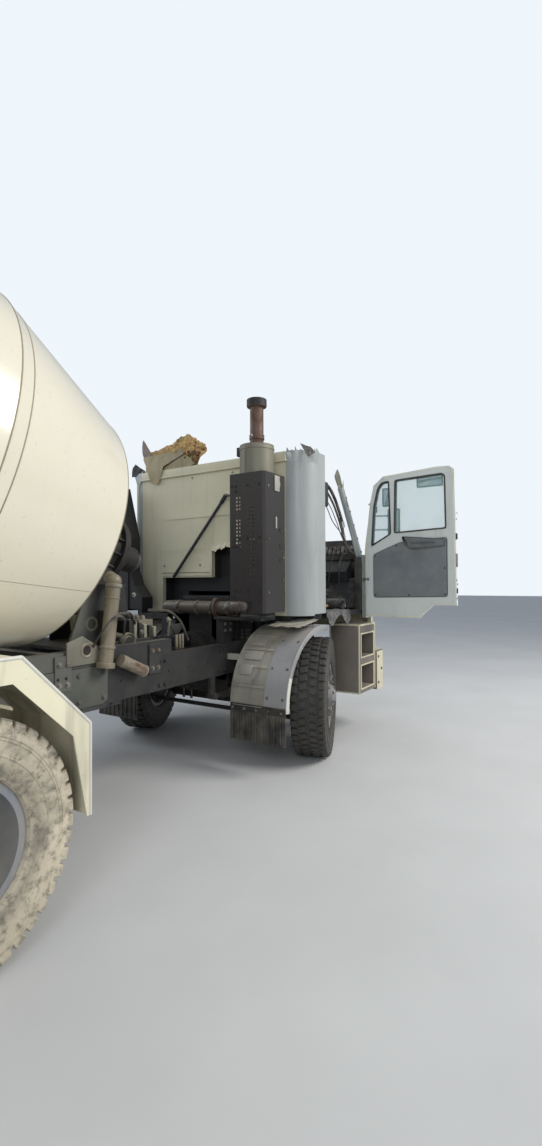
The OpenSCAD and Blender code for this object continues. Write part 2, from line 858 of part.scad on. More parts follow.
// Steering knuckle: fork about the kingpin, spindle and steering arm, for the left side
module knuckle() {
    color("gray") difference() {
        union() {
            for (z = [[405, 449], [627, 671]])
                kingpin_ear(z);
            block([-45, 45], [kingpin_y + 58, kingpin_y + 88], [405, 671]);
            rod_y(kingpin_y + 80, front_track / 2 + 84, 0, axle_z, spindle_r);
            rod_y(kingpin_y + 80, kingpin_y + 118, 0, axle_z, 85);
            block([-arm_reach, 0], [kingpin_y - 22, kingpin_y + 22], [405, 435]);
            rod_z(405, 435, -arm_reach, kingpin_y, 30);
        }
        rod_z(380, 700, 0, kingpin_y, kingpin_r + fit);
        rod_z(380, 450, -arm_reach, kingpin_y, 12 + fit);
    }
    color("gray") rod_z(406, 670, 0, kingpin_y, kingpin_r);
}

module kingpin_ear(z) {
    rod_z(z[0], z[1], 0, kingpin_y, 52);
    block([-45, 45], [kingpin_y, kingpin_y + 60], z);
}

module knuckle_left() {
    steered(1) knuckle();
}

module knuckle_right() {
    steered(-1) knuckle_right_form();
}

// The right knuckle: its arm also points back, so that the tie rod stays parallel to the axle
module knuckle_right_form() {
    mirror([0, 1, 0]) knuckle();
}

module tie_rod() {
    dx = -arm_reach * cos(steer_rest);
    dy = -arm_reach * sin(steer_rest);
    color("dimgray") {
        rod_y(-kingpin_y + dy, kingpin_y + dy, dx, tie_z - 23, 20);
        for (side = [-1, 1]) {
            rod_z(tie_z - 50, tie_z + 4, dx, side * kingpin_y + dy, 28);
            rod_z(tie_z, 430, dx, side * kingpin_y + dy, 12);
        }
    }
}

// Cab

// The cab's wall between two heights
module cab_wall(z0, z1) {
    translate([0, 0, z0]) linear_extrude(z1 - z0) difference() {
        plan_outline(0);
        plan_outline(cab_t);
    }
}

// Rounded plan made of exact arcs
module plan_outline(inset) {
    r = corner_r;
    f = 180;
    half = cab_half;
    union() {
        for (s = [-1, 1]) {
            translate([cab_rear + r, s * (half - r)]) circle(r = r - inset);
            translate([cab_front - f, s * (half - f)]) circle(r = f - inset);
        }
        translate([cab_rear + inset, -half + r]) square([cab_front - cab_rear - 2 * inset - 1,
            2 * (half - r)]);
        translate([cab_rear + r, -half + inset]) square([cab_front - cab_rear - r - f, 2 * (half - inset)]);
        translate([cab_front - f, -half + f]) square([f - inset, 2 * (half - f)]);
    }
}

module cab_shell() {
    color("ivory") {
        difference() {
            intersection() {
                cab_wall(floor_z + 40, cab_top);
                block([cab_rear - 10, b_pillar], [-cab_half - 90, cab_half + 90], [0, 3000]);
            }
            block([cab_rear - 10, cab_rear + cab_t + 10], [-bulkhead_half, bulkhead_half], [0, bulkhead_top]);
            block([cab_rear - 10, cab_rear + cab_t + 10], [-bulkhead_half, high_end], [0, high_top]);
            both_sides() block([cab_rear + 150, b_pillar + 10], [cab_half - 110, cab_half + 90],
                [0, side_bottom]);
        }
        both_sides() {
            difference() {
                intersection() {
                    cab_wall(1200, 1880);
                    block([hinge_x + 8, 1215], [0, cab_half + 90], [0, 3000]);
                }
                for (z = door_hinges)
                    rod_z(z + 46, z + 100, hinge_x, hinge_y, knuckle_r + 5);
            }
            pillar_stub();
            for (z = door_hinges) cab_knuckle(z);
        }
    }
}

// What is left of the windscreen pillar, cut off and leaning back and in
module pillar_stub() {
    a = [1130, cab_half - 90, 1840];
    b = [890, cab_half - 210, 2600];
    rod_between(a, b, 34, $fn = 10);
    block([1085, 1190], [cab_half - 125, cab_half - 35], [1800, 1876]);
}

module cab_knuckle(z) {
    rod_z(z, z + 45, hinge_x, hinge_y, knuckle_r);
    rod_z(z + 44, z + 90, hinge_x, hinge_y, pin_r);
    block([hinge_x, hinge_x + 40], [cab_half - 6, hinge_y + 4], [z, z + 45]);
}

module cab_floor() {
    color("darkslategray") {
        difference() {
            union() {
                block([cab_rear + corner_r, 1214], [-cab_half + 60, cab_half - 60], [floor_z, floor_z + 40]);
                block([cab_rear + cab_t + 1, cab_front - cab_t], [-cab_half + 210, cab_half - 210],
                    [floor_z, floor_z + 40]);
                block([cab_rear + cab_t, 920], [-tunnel_half, tunnel_half], [floor_z, tunnel_top]);
                block([cab_rear + cab_t, cab_rear + 170], [-bulkhead_half - 20, bulkhead_half + 20],
                    [floor_z, bulkhead_top + 20]);
                block([cab_rear + cab_t, cab_rear + 170], [-bulkhead_half - 20, high_end + 20],
                    [floor_z, high_top + 20]);
            }
            block([cab_rear - 10, 900], [-tunnel_half + 20, tunnel_half - 20],
                [floor_z - 10, tunnel_top - 20]);
            block([cab_rear - 10, cab_rear + 150], [-bulkhead_half, bulkhead_half],
                [floor_z - 10, bulkhead_top]);
            block([cab_rear - 10, cab_rear + 150], [-bulkhead_half, high_end], [floor_z - 10, high_top]);
        }
        both_sides() difference() {
            block([tilt_x - 40, tilt_x + 40], [rail_in - 45, rail_in - 5], [tilt_z - 40, floor_z]);
            rod_y(rail_in - 50, rail_in, tilt_x, tilt_z, tilt_pin_r - 1);
        }
        both_sides() rod_y(rail_in - 45, rail_out - 1, tilt_x, tilt_z, tilt_pin_r);
    }
}

module front_panel() {
    color("ivory") {
        difference() {
            intersection() {
                cab_wall(panel_bottom, panel_top);
                block([1215, cab_front + 10], [-cab_half - 90, cab_half + 90], [0, 3000]);
            }
            for (z = grille_slots)
                block([1300, 1450], [-620, 620], [z, z + 30]);
        }
    }
}

module dashboard() {
    color("darkslategray") {
        side_plate([[cab_front - cab_t, 1560], [cab_front - cab_t, 1860], [1180, 1840], [1010, 1700],
            [1050, 1600]],
            -cab_half + 210, cab_half - 210);
        // Steering column and wheel, on the left
        block([955, 1045], [495, 585], [floor_z + 40, floor_z + 60]);
        rod_between([1000, 540, floor_z + 60], [850, 540, 1800], 32);
        translate([845, 540, 1812]) rotate([0, -20, 0]) {
            rotate_extrude() translate([215, 0]) circle(r = 15);
            for (a = [30, 150, 270])
                rotate([0, 0, a]) translate([0, -16, -8]) cube([212, 32, 16]);
            cylinder(h = 40, r = 45, center = true);
        }
        block([840, 1060], [500, 580], [1590, 1650]);
    }
}

module seat() {
    block([120, 620], [420, 920], [1480, 1600]);
    side_plate([[0, 1480], [130, 1480], [60, 2280], [-50, 2280]], 430, 910);
    block([180, 560], [500, 840], [floor_z + 40, 1480]);
}

module seats() {
    color("dimgray") both_sides() seat();
}

// What is left of the roof: a torn sheet with its lining, folded over the rear wall's top
module torn_roof() {
    top = cab_top;
    color("khaki") {
        cross_plate([[-560, top], [1000, top], [1010, top + 90], [960, top + 265], [930, top + 285],
            [880, top + 150],
            [780, top + 95], [560, top + 170], [390, top + 270], [330, top + 240], [250, top + 120],
                [60, top + 110],
            [-60, top + 60], [-560, top + 40]], cab_rear + 5, cab_rear + 35);
    }
}

// Doors

module door_panel() {
    difference() {
        side_plate(door_outline, cab_half - door_t, cab_half);
        side_plate(main_window, cab_half - door_t - 10, cab_half + 10);
        side_plate(vent_window, cab_half - door_t - 10, cab_half + 10);
        side_plate(door_recess, cab_half - door_t - 5, cab_half - door_t + 8);
    }
}

module door_knuckle(z) {
    difference() {
        union() {
            rod_z(z + 50, z + 95, hinge_x, hinge_y, knuckle_r);
            block([hinge_x - 40, hinge_x], [cab_half - 4, hinge_y + 4], [z + 50, z + 95]);
        }
        rod_z(z + 40, z + 100, hinge_x, hinge_y, pin_r + fit);
    }
}

module mirrors() {
    y = cab_half;
    rod_y(y - 5, y + 60, 1010, 2420, 12);
    rod_y(y - 5, y + 60, 1020, 1990, 12);
    rod_z(1985, 2426, 1015, y + 56, 10);
    for (z = [2150, 2300])
        rod_between([1015, y + 56, z], [840, y + 136, z], 10);
    block([715, 850], [y + 120, y + 150], [2080, 2370]);
    block([775, 910], [y + 120, y + 150], [2400, 2600]);
    rod_z(2360, 2410, 812, y + 135, 10);
    rod_y(y - 5, y + 95, 380, 2680, 10);
    block([245, 515], [y + 60, y + 95], [2560, 2690]);
}

module door() {
    color("gainsboro") {
        door_panel();
        for (z = door_hinges) door_knuckle(z);
        mirrors();
    }
}

module door_left() {
    door();
}

module door_right() {
    translate([hinge_x, -hinge_y, 0]) rotate([0, 0, door_open]) translate([-hinge_x, hinge_y, 0])
        mirror([0, 1, 0]) door();
}

// Chute

// Turns from straight back to where the chute is parked; in here -X points along the chute
module swung() {
    translate([chute_x, 0, 0]) rotate([0, 0, -chute_swing]) children();
}

module chute_swivel() {
    color("lightgray") swung() {
        rod_z(960, 1155, 0, 0, 45);
        rod_z(1155, 1480, 0, 0, 60);
        block([-60, 60], [-110, 110], [1440, 1480]);
        both_sides() difference() {
            side_plate([[-60, 1440], [60, 1440], [60, 1480], [-chute_pivot + 40, 1600],
                [-chute_pivot - 40, 1600],
                [-chute_pivot - 40, 1520]], 110, 130);
            rod_y(100, 140, -chute_pivot, chute_pivot_z, 14 + fit);
        }
        difference() {
            block([-130, -40], [-40, 40], [1160, 1220]);
            block([-150, -70], [-22, 22], [1150, 1230]);
            rod_y(-50, 50, jack_base[0], jack_base[1], 12 + fit);
        }
    }
}

// Along the trough: z runs down the slope from the tilting pin
module on_chute() {
    swung() translate([-chute_pivot, 0, chute_pivot_z]) rotate([0, -90 - chute_slope, 0]) children();
}

module trough(length, r, wall) {
    difference() {
        cylinder(h = length, r = r);
        translate([0, 0, -1]) cylinder(h = length + 2, r = r - wall);
        translate([20, -r - 1, -2]) cube([r + 10, 2 * r + 2, length + 4]);
    }
}

module chute() {
    color("ivory") on_chute() {
        translate([trough_x, 0, -150]) trough(chute_len + 150, chute_r, 8);
        both_sides() translate([-20, 84, -30]) cube([86, 20, 60]);
        rotate([90, 0, 0]) cylinder(h = 264, r = 14, center = true);
        both_sides() difference() {
            translate([-20, 32, 560]) cube([66, 12, 80]);
            translate([0, 50, jack_eye_z]) rotate([90, 0, 0]) cylinder(h = 30, r = 12);
        }
        // Hinge cheeks for the extension
        both_sides() {
            translate([240, chute_r - 8, chute_len - 60]) cube([60, 10, 95]);
            translate([fold_x, chute_r - 24, fold_z]) rotate([-90, 0, 0]) cylinder(h = 20, r = 8);
        }
    }
}

module chute_extension() {
    r = chute_r - 14;
    color("ivory") on_chute() {
        translate([2 * fold_x - trough_x, 0, chute_len - extension_len])
            mirror([1, 0, 0]) trough(extension_len, r, 8);
        both_sides() difference() {
            union() {
                translate([fold_x + 8, r - 10, chute_len - 60]) cube([30, 10, 95]);
                translate([fold_x - 22, r - 10, fold_z - 15]) cube([40, 10, 30]);
            }
            translate([fold_x, r - 30, fold_z]) rotate([-90, 0, 0]) cylinder(h = 60, r = 8 + fit);
        }
    }
}

// Along the jack: z runs from its lower pin to the eye under the trough
module on_jack() {
    swung() translate([jack_base[0], 0, jack_base[1]]) rotate([0, -90 + jack_angle, 0]) children();
}

module jack_cylinder() {
    color("gray") on_jack() {
        rotate([90, 0, 0]) cylinder(h = 40, r = 26, center = true);
        rotate([90, 0, 0]) cylinder(h = 80, r = 12, center = true);
        cylinder(h = 70, r = 18);
        difference() {
            translate([0, 0, 60]) cylinder(h = jack_len - 260, r = 32);
            translate([0, 0, 90]) cylinder(h = jack_len, r = 20 + fit);
        }
    }
}

module jack_rod() {
    color("silver") on_jack() {
        translate([0, 0, 280]) cylinder(h = jack_len - 300, r = 20);
        difference() {
            translate([0, 0, jack_len]) rotate([90, 0, 0]) cylinder(h = 56, r = 27, center = true);
            translate([0, 0, jack_len]) rotate([90, 0, 0]) cylinder(h = 60, r = 12 + fit, center = true);
        }
    }
}

placed() frame_rails();
placed() subframe();
placed() front_axle();
placed() rear_axles();
placed() springs();
placed() engine();
placed() propshafts();
placed() bumper();
placed() steps();
placed() lamps();
placed() front_mudguards();
placed() rear_mudguards();
placed() mud_flaps();
placed() exhaust();
placed() exhaust_stack();
placed() heat_shield();
placed() air_intake();
placed() front_pedestal();
placed() drum_gearbox();
placed() hydraulics();
placed() rear_pedestal();
placed() hopper_frame();
placed() hopper();
placed() collector();
placed() ladder();
placed() tanks();
placed() tail_bar();
placed() drum_head();
placed() drum_shell();
placed() drum_cone();
placed() roller_left();
placed() roller_right();
placed() knuckle_left();
placed() knuckle_right();
placed() tie_rod();
placed() at_front(1) tyre();  // tyre_front_left
placed() at_front(1) front_rim();  // rim_front_left
placed() at_front(-1) tyre();  // tyre_front_right
placed() at_front(-1) front_rim();  // rim_front_right
placed() at_rear(1, 0) twin_tyres();  // tyres_left_1
placed() at_rear(1, 0) twin_rim();  // rims_left_1
placed() at_rear(-1, 0) twin_tyres();  // tyres_right_1
placed() at_rear(-1, 0) twin_rim();  // rims_right_1
placed() at_rear(1, 1) twin_tyres();  // tyres_left_2
placed() at_rear(1, 1) twin_rim();  // rims_left_2
placed() at_rear(-1, 1) twin_tyres();  // tyres_right_2
placed() at_rear(-1, 1) twin_rim();  // rims_right_2
placed() chute_swivel();
placed() chute();
placed() chute_extension();
placed() jack_cylinder();
placed() jack_rod();
placed() cab_shell();
placed() cab_floor();
placed() front_panel();
placed() dashboard();
placed() seats();
placed() torn_roof();
placed() door_left();
placed() door_right();
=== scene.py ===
import math
import random
from math import cos, pi, radians, sin

import bmesh
import bpy
from bpy.props import FloatProperty, FloatVectorProperty, IntProperty, PointerProperty
from mathutils import Matrix, Vector, noise


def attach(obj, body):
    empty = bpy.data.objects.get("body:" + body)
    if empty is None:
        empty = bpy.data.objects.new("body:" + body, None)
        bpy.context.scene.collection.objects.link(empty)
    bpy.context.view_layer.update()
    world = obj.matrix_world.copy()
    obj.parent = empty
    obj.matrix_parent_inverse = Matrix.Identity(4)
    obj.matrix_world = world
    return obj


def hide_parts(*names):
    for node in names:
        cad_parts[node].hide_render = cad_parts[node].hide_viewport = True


bl_info = {
    "name": "Concrete mixer truck dressing",
    "version": (1, 0, 0),
    "blender": (4, 5, 0),
    "location": "View3D > Sidebar > Mixer truck",
    "description": "Dresses the packed model of a wrecked concrete mixer truck: paint, tyres, glass, trim and damage",
    "category": "Object",
}

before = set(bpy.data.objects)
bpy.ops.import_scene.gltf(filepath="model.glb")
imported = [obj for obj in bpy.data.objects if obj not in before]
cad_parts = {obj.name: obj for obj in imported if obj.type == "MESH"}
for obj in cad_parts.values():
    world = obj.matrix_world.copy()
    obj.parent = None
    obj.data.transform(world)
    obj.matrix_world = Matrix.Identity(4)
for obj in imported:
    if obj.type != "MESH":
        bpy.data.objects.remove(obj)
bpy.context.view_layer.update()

# Every piece is drawn from the truck's own datum: X forward from the front axle, Y to the left, Z up
DATUM = Vector((2.808, 0.338, 0.0))

# Real sizes that the dressing shares with the frame, in metres and degrees
TYRE_R = AXLE_Z = 0.538
KINGPIN_Y = 0.85
FRONT_TRACK, REAR_TRACK, TWIN_GAP = 2.04, 1.83, 0.34
REAR_AXLES = (-3.3, -4.65)
STEER, DOOR_OPEN, DRUM_TILT = 20.0, 90.0, 15.0
DRUM_X, DRUM_Z = -2.109, 1.996
HINGE = (1.058, 1.118)
CHUTE_X, CHUTE_SWING, CHUTE_SLOPE = -6.42, 70.0, 14.0
CHUTE_PIVOT, CHUTE_PIVOT_Z = 0.17, 1.56
CHUTE_REACH, FOLD_HINGE = 0.25, 0.28
RAIL_OUT, RAIL_IN, RAIL_BOTTOM = 0.43, 0.35, 0.77
CAB_REAR, CAB_HALF, CAB_TOP = -0.26, 1.11, 2.767
CAB_CORNER = 0.22
GUARD_R = 0.652
MUFFLER = (-0.5, -0.742, 0.15)
SIDES = (("left", 1), ("right", -1))


def turn(degrees, axis):
    return Matrix.Rotation(radians(degrees), 4, axis)


def shift(x, y, z):
    return Matrix.Translation((x, y, z))


FLIP_Y = Matrix.Scale(-1, 4, (0, 1, 0))
DRUM_FRAME = shift(DRUM_X, 0, DRUM_Z) @ turn(DRUM_TILT - 90, "Y")
SWIVEL_FRAME = shift(CHUTE_X, 0, 0) @ turn(-CHUTE_SWING, "Z")
CHUTE_FRAME = SWIVEL_FRAME @ shift(-CHUTE_PIVOT, 0, CHUTE_PIVOT_Z) @ turn(-90 - CHUTE_SLOPE, "Y")
DOOR_FRAMES = {
    "left": Matrix(),
    "right": shift(HINGE[0], -HINGE[1], 0) @ turn(DOOR_OPEN, "Z") @ shift(-HINGE[0], HINGE[1], 0) @ FLIP_Y,
}


def wheel_frame(name, side):
    """A wheel's own frame: its axle along +Y, pointing out of the truck."""
    if name == "front":
        kingpin = shift(0, side * KINGPIN_Y, AXLE_Z)
        place = kingpin @ turn(STEER, "Z") @ shift(0, side * (FRONT_TRACK / 2 - KINGPIN_Y), 0)
    else:
        place = shift(REAR_AXLES[int(name) - 1], side * REAR_TRACK / 2, AXLE_Z)
    return place if side > 0 else place @ FLIP_Y


def wheels():
    """Every wheel or pair: its label, whether it steers, its frame, its tyre's node, its body, its tyres' middles."""
    for label, side in SIDES:
        yield label + "_front", True, wheel_frame("front", side), "tyre_front_" + label, "wheel_front_" + label, (0.0,)
        for name in ("1", "2"):
            pair = "%s_%s" % (label, name)
            yield pair, False, wheel_frame(name, side), "tyres_" + pair, "wheels_" + pair, (TWIN_GAP / 2, -TWIN_GAP / 2)


def span(side, low, high):
    """Limits across the truck, on one side of its middle."""
    return sorted((side * low, side * high))


def rect(u0, u1, v0, v1):
    """Corners of an upright rectangle."""
    return [(u0, v0), (u1, v0), (u1, v1), (u0, v1)]


def circle(count, r, start=0.0):
    """Pairs evenly round a circle."""
    return [(r * cos(a), r * sin(a)) for a in (radians(start + 360 / count * k) for k in range(count))]


def sector(inner, outer, start, step=14.0, steps=12):
    """Outline of a strip of a ring: along its inner radius and back along its outer one."""
    angles = [radians(start + step * k) for k in range(steps + 1)]
    near = [(inner * cos(a), inner * sin(a)) for a in angles]
    return near + [(outer * cos(a), outer * sin(a)) for a in reversed(angles)]


# Sizes and colours a user would change


def colour(label, words, value):
    return FloatVectorProperty(name=label, description=words, default=value, subtype="COLOR", size=3, min=0.0, max=1.0)


def length(label, words, value):
    return FloatProperty(name=label, description=words, default=value, unit="LENGTH", subtype="DISTANCE", min=0.0)


class MixerSizes(bpy.types.PropertyGroup):
    tread_height: length("Tread height", "Height of the tyres' tread blocks", 0.016)
    tread_rows: IntProperty(name="Tread pitches", description="Tread blocks round a tyre", default=46, min=12)
    nut_width: length("Wheel nut", "Width of a wheel nut over its corners", 0.037)
    hole_pitch: length("Hole pitch", "Distance between the heat shield's holes", 0.032)
    hole_radius: length("Hole radius", "Radius of the heat shield's holes", 0.0095)
    bolt_width: length("Bolt", "Width of a frame bolt's head over its corners", 0.027)
    weld_radius: length("Weld", "Radius of the drum's weld beads", 0.006)
    seat_swell: length("Seat swell", "How far the seats' stuffing may push their covers out", 0.02)


class MixerColours(bpy.types.PropertyGroup):
    drum: colour("Drum", "Cream gloss paint of the drum and chute", (0.92, 0.855, 0.68))
    cab: colour("Cab", "Faded cream paint of the cab", (0.73, 0.68, 0.49))
    panel: colour("Corner panels", "Grey paint of the cab's rounded corners", (0.40, 0.43, 0.42))
    door: colour("Door", "Pale grey paint of the doors", (0.76, 0.80, 0.75))
    guard: colour("Mudguards", "Dusty cream paint of the mudguards", (0.93, 0.87, 0.64))
    # Partly painted shade: the chassis black is set darker than its paint for the frame's deep shadow
    chassis: colour("Chassis", "Dark chassis paint and shade", (0.024, 0.024, 0.025))
    # Painted shade: the mixer frame's pale grey paint is set this dark for its deep shadow
    mixer: colour("Mixer frame", "Pale grey paint of the mixer's own frame", (0.135, 0.138, 0.122))
    rim: colour("Rims", "Blue-grey paint of the rims", (0.24, 0.255, 0.29))
    shield: colour("Heat shield", "Brown-black heat shield", (0.046, 0.041, 0.040))
    rust: colour("Rust", "Rust on bare steel", (0.17, 0.082, 0.045))
    dust: colour("Dust", "Dry road and cement dust", (0.50, 0.44, 0.33))
    grime: colour("Grime", "Oily grime", (0.045, 0.038, 0.030))
    rubber: colour("Rubber", "Tyre and hose rubber", (0.030, 0.029, 0.028))
    foam: colour("Foam", "Orange lining foam of the torn roof", (0.90, 0.60, 0.27))
    carpet: colour("Door trim", "Grey trim inside the doors", (0.22, 0.24, 0.245))
    cloth: colour("Seat cloth", "Faded cloth of the seats", (0.10, 0.11, 0.14))
    plastic: colour("Cab plastic", "Dark plastic of the dashboard", (0.032, 0.033, 0.035))


# Finishes


def scaled(paint, share):
    """A paint made darker or lighter."""
    return [min(1.0, c * share) for c in paint]


class Finish:
    """A material's nodes in the making. Patterns are in metres on the object's own coordinates."""

    def __init__(self, name):
        self.colours = bpy.context.scene.mixer_colours
        self.material = bpy.data.materials.new(name)
        self.material.use_nodes = True
        self.nodes = self.material.node_tree.nodes
        self.links = self.material.node_tree.links
        self.shader = self.nodes["Principled BSDF"]
        self.coords = self.node("ShaderNodeTexCoord").outputs["Object"]
        self.heights = None

    def node(self, kind, inputs=(), **settings):
        made = self.nodes.new(kind)
        for key, value in settings.items():
            setattr(made, key, value)
        for key, value in dict(inputs).items():
            self.feed(made.inputs[key], value)
        return made

    def feed(self, socket, value):
        if isinstance(value, bpy.types.NodeSocket):
            self.links.new(value, socket)
        elif value is not None:
            if socket.type == "RGBA" and not isinstance(value, float) and len(value) == 3:
                value = (*value, 1.0)
            socket.default_value = value

    def noise(self, scale, detail=4.0, rough=0.55, stretch=None, warp=0.0):
        where = self.coords
        if stretch:
            where = self.node("ShaderNodeMapping", {"Vector": where, "Scale": stretch}).outputs[0]
        made = self.node("ShaderNodeTexNoise", {"Vector": where, "Scale": scale, "Detail": detail, "Roughness": rough,
                                                "Distortion": warp})
        return made.outputs["Fac"]

    def steps(self, value, low, high):
        """0 below low, 1 above high."""
        return self.node("ShaderNodeMapRange", {"Value": value, "From Min": low, "From Max": high}).outputs["Result"]

    def times(self, a, b):
        return self.node("ShaderNodeMath", {0: a, 1: b}, operation="MULTIPLY").outputs[0]

    def sum(self, a, b):
        return self.node("ShaderNodeMath", {0: a, 1: b}, operation="ADD", use_clamp=True).outputs[0]

    def mix(self, amount, a, b):
        made = self.node("ShaderNodeMix", data_type="RGBA")
        for index, value in ((0, amount), (6, a), (7, b)):
            self.feed(made.inputs[index], value)
        return made.outputs[2]

    def level(self, amount, a, b):
        made = self.node("ShaderNodeMix", data_type="FLOAT")
        for index, value in ((0, amount), (2, a), (3, b)):
            self.feed(made.inputs[index], value)
        return made.outputs[0]

    def axis(self, name, source=None):
        return self.node("ShaderNodeSeparateXYZ", {0: source or self.coords}).outputs[name]

    def facing_up(self):
        return self.steps(self.axis("Z", self.node("ShaderNodeNewGeometry").outputs["Normal"]), 0.25, 0.95)

    def settled(self, scale, detail, low, high, amount):
        """Dust that lies in clouds on what faces up."""
        return self.times(self.times(self.facing_up(), self.steps(self.noise(scale, detail), low, high)), amount)

    def beyond(self, half):
        """1 further from the truck's middle than half."""
        across = self.node("ShaderNodeMath", {0: self.axis("Y"), 1: DATUM.y}, operation="SUBTRACT").outputs[0]
        return self.steps(self.node("ShaderNodeMath", {0: across}, operation="ABSOLUTE").outputs[0], half, half + 0.004)

    def bump(self, value, strength, distance):
        made = self.node("ShaderNodeBump", {"Strength": strength, "Distance": distance, "Height": value})
        if self.heights:
            self.links.new(self.heights, made.inputs["Normal"])
        self.heights = made.outputs[0]
        self.links.new(self.heights, self.shader.inputs["Normal"])

    def done(self, base, rough=None, **constants):
        self.feed(self.shader.inputs["Base Color"], base)
        if rough is not None:
            self.feed(self.shader.inputs["Roughness"], rough)
        for key, value in constants.items():
            self.feed(self.shader.inputs[key.replace("_", " ")], value)
        return self.material


def weathered(name, paint, rough=0.5, shade=0.82, dust=0.35, runs=0.35, rust=0.12, mud=0.5, metallic=0.0, coat=0.0,
              grain=0.25, corner=None, under=None):
    """Old paint: faded in clouds, streaked with grime, rusting in spots, dusty on top and muddy near the ground.
    A corner paint takes over beyond the cab's flat rear wall, and another colour past a place on an axis; on the mixer
    frame that colour is painted shade."""
    f = Finish(name)
    fade = f.steps(f.noise(1.1, 5), 0.35, 0.68)
    base = f.mix(fade, paint, scaled(paint, shade))
    if corner:
        base = f.mix(f.beyond(CAB_HALF - CAB_CORNER), base, f.mix(fade, corner, scaled(corner, shade)))
    if under:
        base = f.mix(f.steps(f.axis(under[0]), under[1], under[2]), base, under[3])
    fleck = f.steps(f.noise(34, 3, 0.7), 0.62, 0.74)
    base = f.mix(f.times(fleck, 0.35), base, scaled(paint, 0.55))
    streak = f.times(f.steps(f.noise(3.2, 6, 0.6, (2.2, 2.2, 0.28), 0.4), 0.53, 0.74), runs)
    base = f.mix(streak, base, f.colours.grime)
    spots = f.steps(f.noise(5.5, 9, 0.72), 0.78 - 0.25 * rust, 0.80 - 0.22 * rust)
    tint = f.mix(f.noise(28, 4), f.colours.rust, scaled(f.colours.rust, 0.45))
    base = f.mix(f.times(spots, 0.9), base, tint)
    settled = f.settled(4.0, 5, 0.30, 0.62, dust)
    base = f.mix(settled, base, f.colours.dust)
    low = f.times(f.steps(f.axis("Z"), 1.15, 0.25), f.steps(f.noise(6.0, 6, 0.65), 0.36, 0.62))
    base = f.mix(f.times(low, mud), base, scaled(f.colours.dust, 0.8))
    gloss = f.level(f.noise(9.0, 4), rough - 0.1, rough + 0.12)
    gloss = f.level(f.sum(spots, f.sum(settled, f.times(low, mud))), gloss, 0.88)
    f.bump(f.noise(130, 3, 0.7), grain, 0.0008)
    f.bump(f.noise(2.2, 3), 0.22, 0.012)
    return f.done(base, gloss, Metallic=metallic, Coat_Weight=coat, Coat_Roughness=0.12)


def rusted(name, paint, amount=0.55, rough=0.72, metallic=0.35, dust=0.25):
    """Bare or burnt steel with rust in scales."""
    f = Finish(name)
    scales = f.steps(f.noise(3.4, 9, 0.68, None, 0.6), 0.60 - 0.35 * amount, 0.72 - 0.22 * amount)
    tint = f.mix(f.noise(22, 6, 0.7), f.colours.rust, scaled(f.colours.rust, 0.35))
    base = f.mix(scales, paint, tint)
    base = f.mix(f.times(f.steps(f.noise(11, 5, 0.6, (1, 1, 0.3)), 0.55, 0.75), 0.4), base, f.colours.grime)
    settled = f.settled(5, 4, 0.3, 0.6, dust)
    base = f.mix(settled, base, f.colours.dust)
    f.bump(f.noise(60, 6, 0.75), 0.35, 0.0015)
    f.bump(scales, 0.25, 0.002)
    return f.done(base, f.level(scales, rough - 0.2, 0.9), Metallic=metallic)


def tyre_rubber(name):
    """Rubber with dust rubbed into the sidewalls and clean black where the tread has worn; the dusty mark scales the
    dust, and its low level on the front tyres is painted shade.
    """
    f = Finish(name)
    grit = f.noise(26, 6, 0.7)
    cloud = f.steps(f.noise(2.6, 5, 0.6), 0.30, 0.62)
    dusty = f.node("ShaderNodeAttribute", attribute_name="dusty").outputs["Fac"]
    amount = f.times(f.sum(f.times(cloud, 0.30), 0.70), dusty)
    amount = f.times(amount, f.steps(grit, 0.22, 0.52))
    base = f.mix(amount, f.colours.rubber, scaled(f.colours.dust, 1.5))
    base = f.mix(f.times(f.steps(f.noise(7, 5), 0.56, 0.7), 0.5), base, scaled(f.colours.rubber, 2.2))
    f.bump(f.noise(160, 3), 0.3, 0.0008)
    return f.done(base, f.level(amount, 0.62, 0.93))


def rubber(name, dust=0.4):
    f = Finish(name)
    amount = f.times(f.steps(f.noise(8, 6, 0.65), 0.38, 0.66), dust)
    base = f.mix(amount, f.colours.rubber, scaled(f.colours.dust, 0.8))
    f.bump(f.noise(140, 2), 0.25, 0.0008)
    return f.done(base, f.level(amount, 0.5, 0.9))


def moulded(name, paint, rough=0.55, dust=0.3, pebble=260):
    """Moulded plastic with a fine pebble and dust on top."""
    f = Finish(name)
    base = f.mix(f.steps(f.noise(2.4, 4), 0.3, 0.7), paint, scaled(paint, 0.7))
    settled = f.settled(6, 5, 0.28, 0.6, dust)
    base = f.mix(settled, base, f.colours.dust)
    scuffs = f.steps(f.noise(15, 7, 0.7, (3, 1, 1)), 0.66, 0.72)
    base = f.mix(f.times(scuffs, 0.4), base, scaled(paint, 2.4))
    cells = f.node("ShaderNodeTexVoronoi", {"Vector": f.coords, "Scale": float(pebble)})
    f.bump(cells.outputs["Distance"], 0.2, 0.0006)
    return f.done(base, f.level(f.sum(settled, scuffs), rough, 0.85))


def glass(name, tint, dirt=0.12):
    """Tinted, dirty safety glass."""
    f = Finish(name)
    film = f.times(f.steps(f.noise(3.5, 6, 0.65), 0.48, 0.72), dirt)
    f.feed(f.shader.inputs["Alpha"], f.level(film, 0.30, 0.75))
    return f.done(f.mix(film, tint, f.colours.dust), f.level(film, 0.04, 0.5), Specular_IOR_Level=0.6)


def lens(name, tint, ribs=55.0, clear=0.35):
    f = Finish(name)
    wave = f.node("ShaderNodeTexWave", {"Vector": f.coords, "Scale": ribs, "Distortion": 0.4}, bands_direction="Y")
    f.bump(wave.outputs["Fac"], 0.4, 0.002)
    dirt = f.times(f.steps(f.noise(9, 5), 0.45, 0.7), 0.5)
    base = f.mix(dirt, tint, f.colours.dust)
    return f.done(base, f.level(dirt, 0.14, 0.7), Transmission_Weight=clear, Coat_Weight=0.4)


